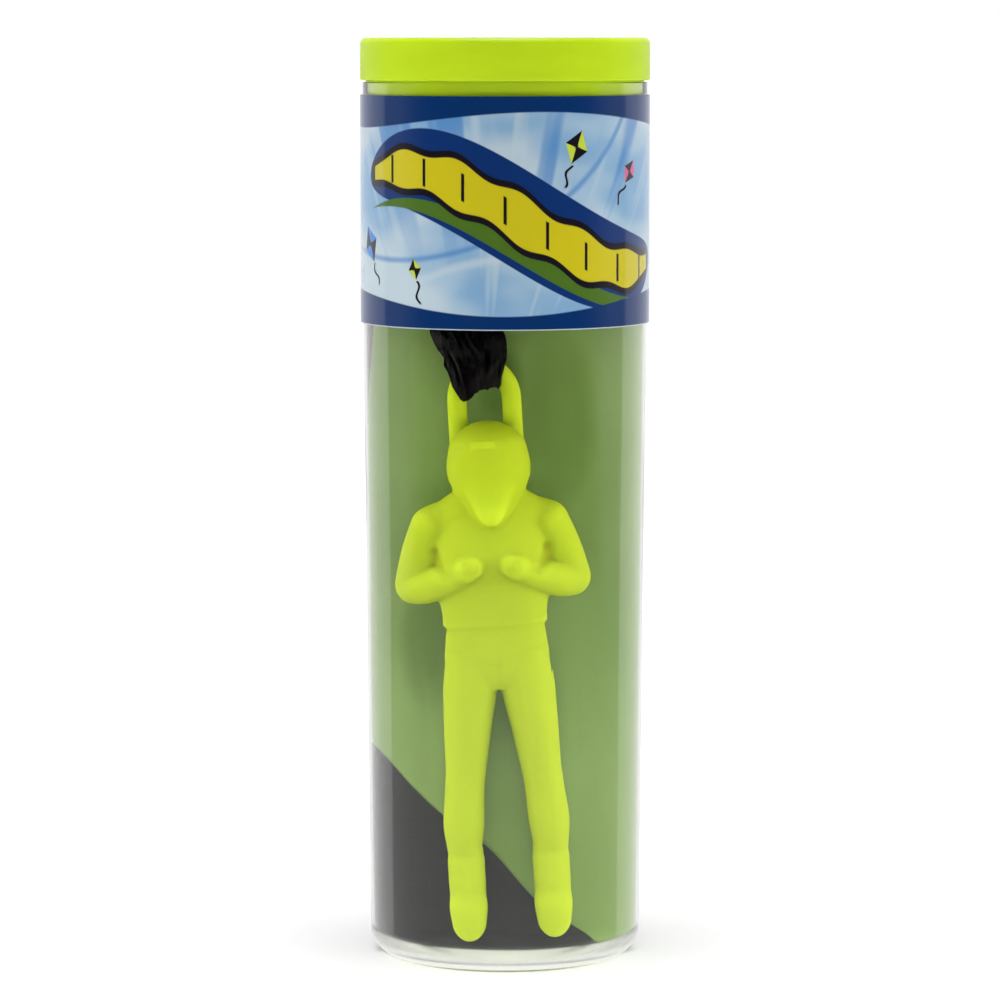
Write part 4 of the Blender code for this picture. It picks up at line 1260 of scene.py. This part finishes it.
class StageSettings(bpy.types.PropertyGroup):
    world_level: factor("Surroundings", "Light from all round", 0.11)
    floor_lift: factor("Floor", "Added white of the floor as the camera sees it", 0.25)
    table_level: factor("Table", "White of the table as the tube's front mirrors it", 0.55)
    LAMPS = (  # name, place, width, height and watts
        ("left_softbox", (-0.76, -0.12, 0.12), 0.5, 0.22, 3.1),
        ("right_softbox", (0.76, -0.12, 0.12), 0.5, 0.22, 3.1),
        ("table_softbox", (0.0, -0.24, 0.012), 0.5, 0.08, 0.56),
        ("overhead_softbox", (0.0, -0.04, 0.98), 0.5, 0.5, 9.0),
    )


class TOY_PARACHUTE_OT_tube(bpy.types.Operator):
    """Build the clear tube"""
    bl_idname = "toy_parachute.tube"
    bl_label = "Clear tube"

    def execute(self, context):
        make_tube(context.scene.toy_tube)
        return {"FINISHED"}


class TOY_PARACHUTE_OT_cap(bpy.types.Operator):
    """Build the plug cap"""
    bl_idname = "toy_parachute.cap"
    bl_label = "Plug cap"

    def execute(self, context):
        make_cap(context.scene.toy_cap)
        return {"FINISHED"}


class TOY_PARACHUTE_OT_label(bpy.types.Operator):
    """Build the printed label"""
    bl_idname = "toy_parachute.label"
    bl_label = "Label"

    def execute(self, context):
        make_label(context.scene.toy_label)
        return {"FINISHED"}


class TOY_PARACHUTE_OT_canopy(bpy.types.Operator):
    """Build the rolled canopy's three panels"""
    bl_idname = "toy_parachute.canopy"
    bl_label = "Rolled canopy"

    def execute(self, context):
        make_canopy(context.scene.toy_canopy)
        return {"FINISHED"}


class TOY_PARACHUTE_OT_net(bpy.types.Operator):
    """Build the gathered net and the thread that ties it"""
    bl_idname = "toy_parachute.net"
    bl_label = "Gathered net and tie"

    def execute(self, context):
        make_net(context.scene.toy_net)
        make_tie()
        return {"FINISHED"}


class TOY_PARACHUTE_OT_figure(bpy.types.Operator):
    """Build the moulded parachutist"""
    bl_idname = "toy_parachute.figure"
    bl_label = "Figure"

    def execute(self, context):
        make_figure(context.scene.toy_figure)
        return {"FINISHED"}


class TOY_PARACHUTE_OT_stage(bpy.types.Operator):
    """Build the floor, the lamps and the camera"""
    bl_idname = "toy_parachute.stage"
    bl_label = "Stage"

    def execute(self, context):
        make_stage(context.scene.toy_stage)
        return {"FINISHED"}


GROUPS = (
    ("toy_tube", TubeSettings), ("toy_cap", CapSettings), ("toy_label", LabelSettings),
    ("toy_canopy", CanopySettings), ("toy_net", NetSettings), ("toy_figure", FigureSettings),
    ("toy_stage", StageSettings),
)
OPERATORS = (
    TOY_PARACHUTE_OT_stage, TOY_PARACHUTE_OT_tube, TOY_PARACHUTE_OT_cap, TOY_PARACHUTE_OT_label,
    TOY_PARACHUTE_OT_canopy, TOY_PARACHUTE_OT_net, TOY_PARACHUTE_OT_figure,
)


class TOY_PARACHUTE_PT_pieces(bpy.types.Panel):
    """Lists the pieces that can be built"""
    bl_idname = "TOY_PARACHUTE_PT_pieces"
    bl_label = "Toy parachute"
    bl_space_type = "VIEW_3D"
    bl_region_type = "UI"
    bl_category = "Toy parachute"

    def draw(self, context):
        for operator in OPERATORS:
            self.layout.operator(operator.bl_idname)
        for name, group in GROUPS:
            box = self.layout.box()
            box.label(text=name.replace("_", " ").capitalize())
            for key in group.__annotations__:
                box.prop(getattr(context.scene, name), key)


def register():
    for name, group in GROUPS:
        bpy.utils.register_class(group)
        setattr(bpy.types.Scene, name, PointerProperty(type=group))
    for operator in OPERATORS:
        bpy.utils.register_class(operator)
    bpy.utils.register_class(TOY_PARACHUTE_PT_pieces)


def unregister():
    bpy.utils.unregister_class(TOY_PARACHUTE_PT_pieces)
    for operator in reversed(OPERATORS):
        bpy.utils.unregister_class(operator)
    for name, group in reversed(GROUPS):
        delattr(bpy.types.Scene, name)
        bpy.utils.unregister_class(group)


def main():
    register()
    bpy.ops.toy_parachute.stage()
    bpy.ops.toy_parachute.tube()
    bpy.ops.toy_parachute.cap()
    bpy.ops.toy_parachute.label()
    bpy.ops.toy_parachute.canopy()
    bpy.ops.toy_parachute.net()
    bpy.ops.toy_parachute.figure()


if __name__ == "__main__":
    main()
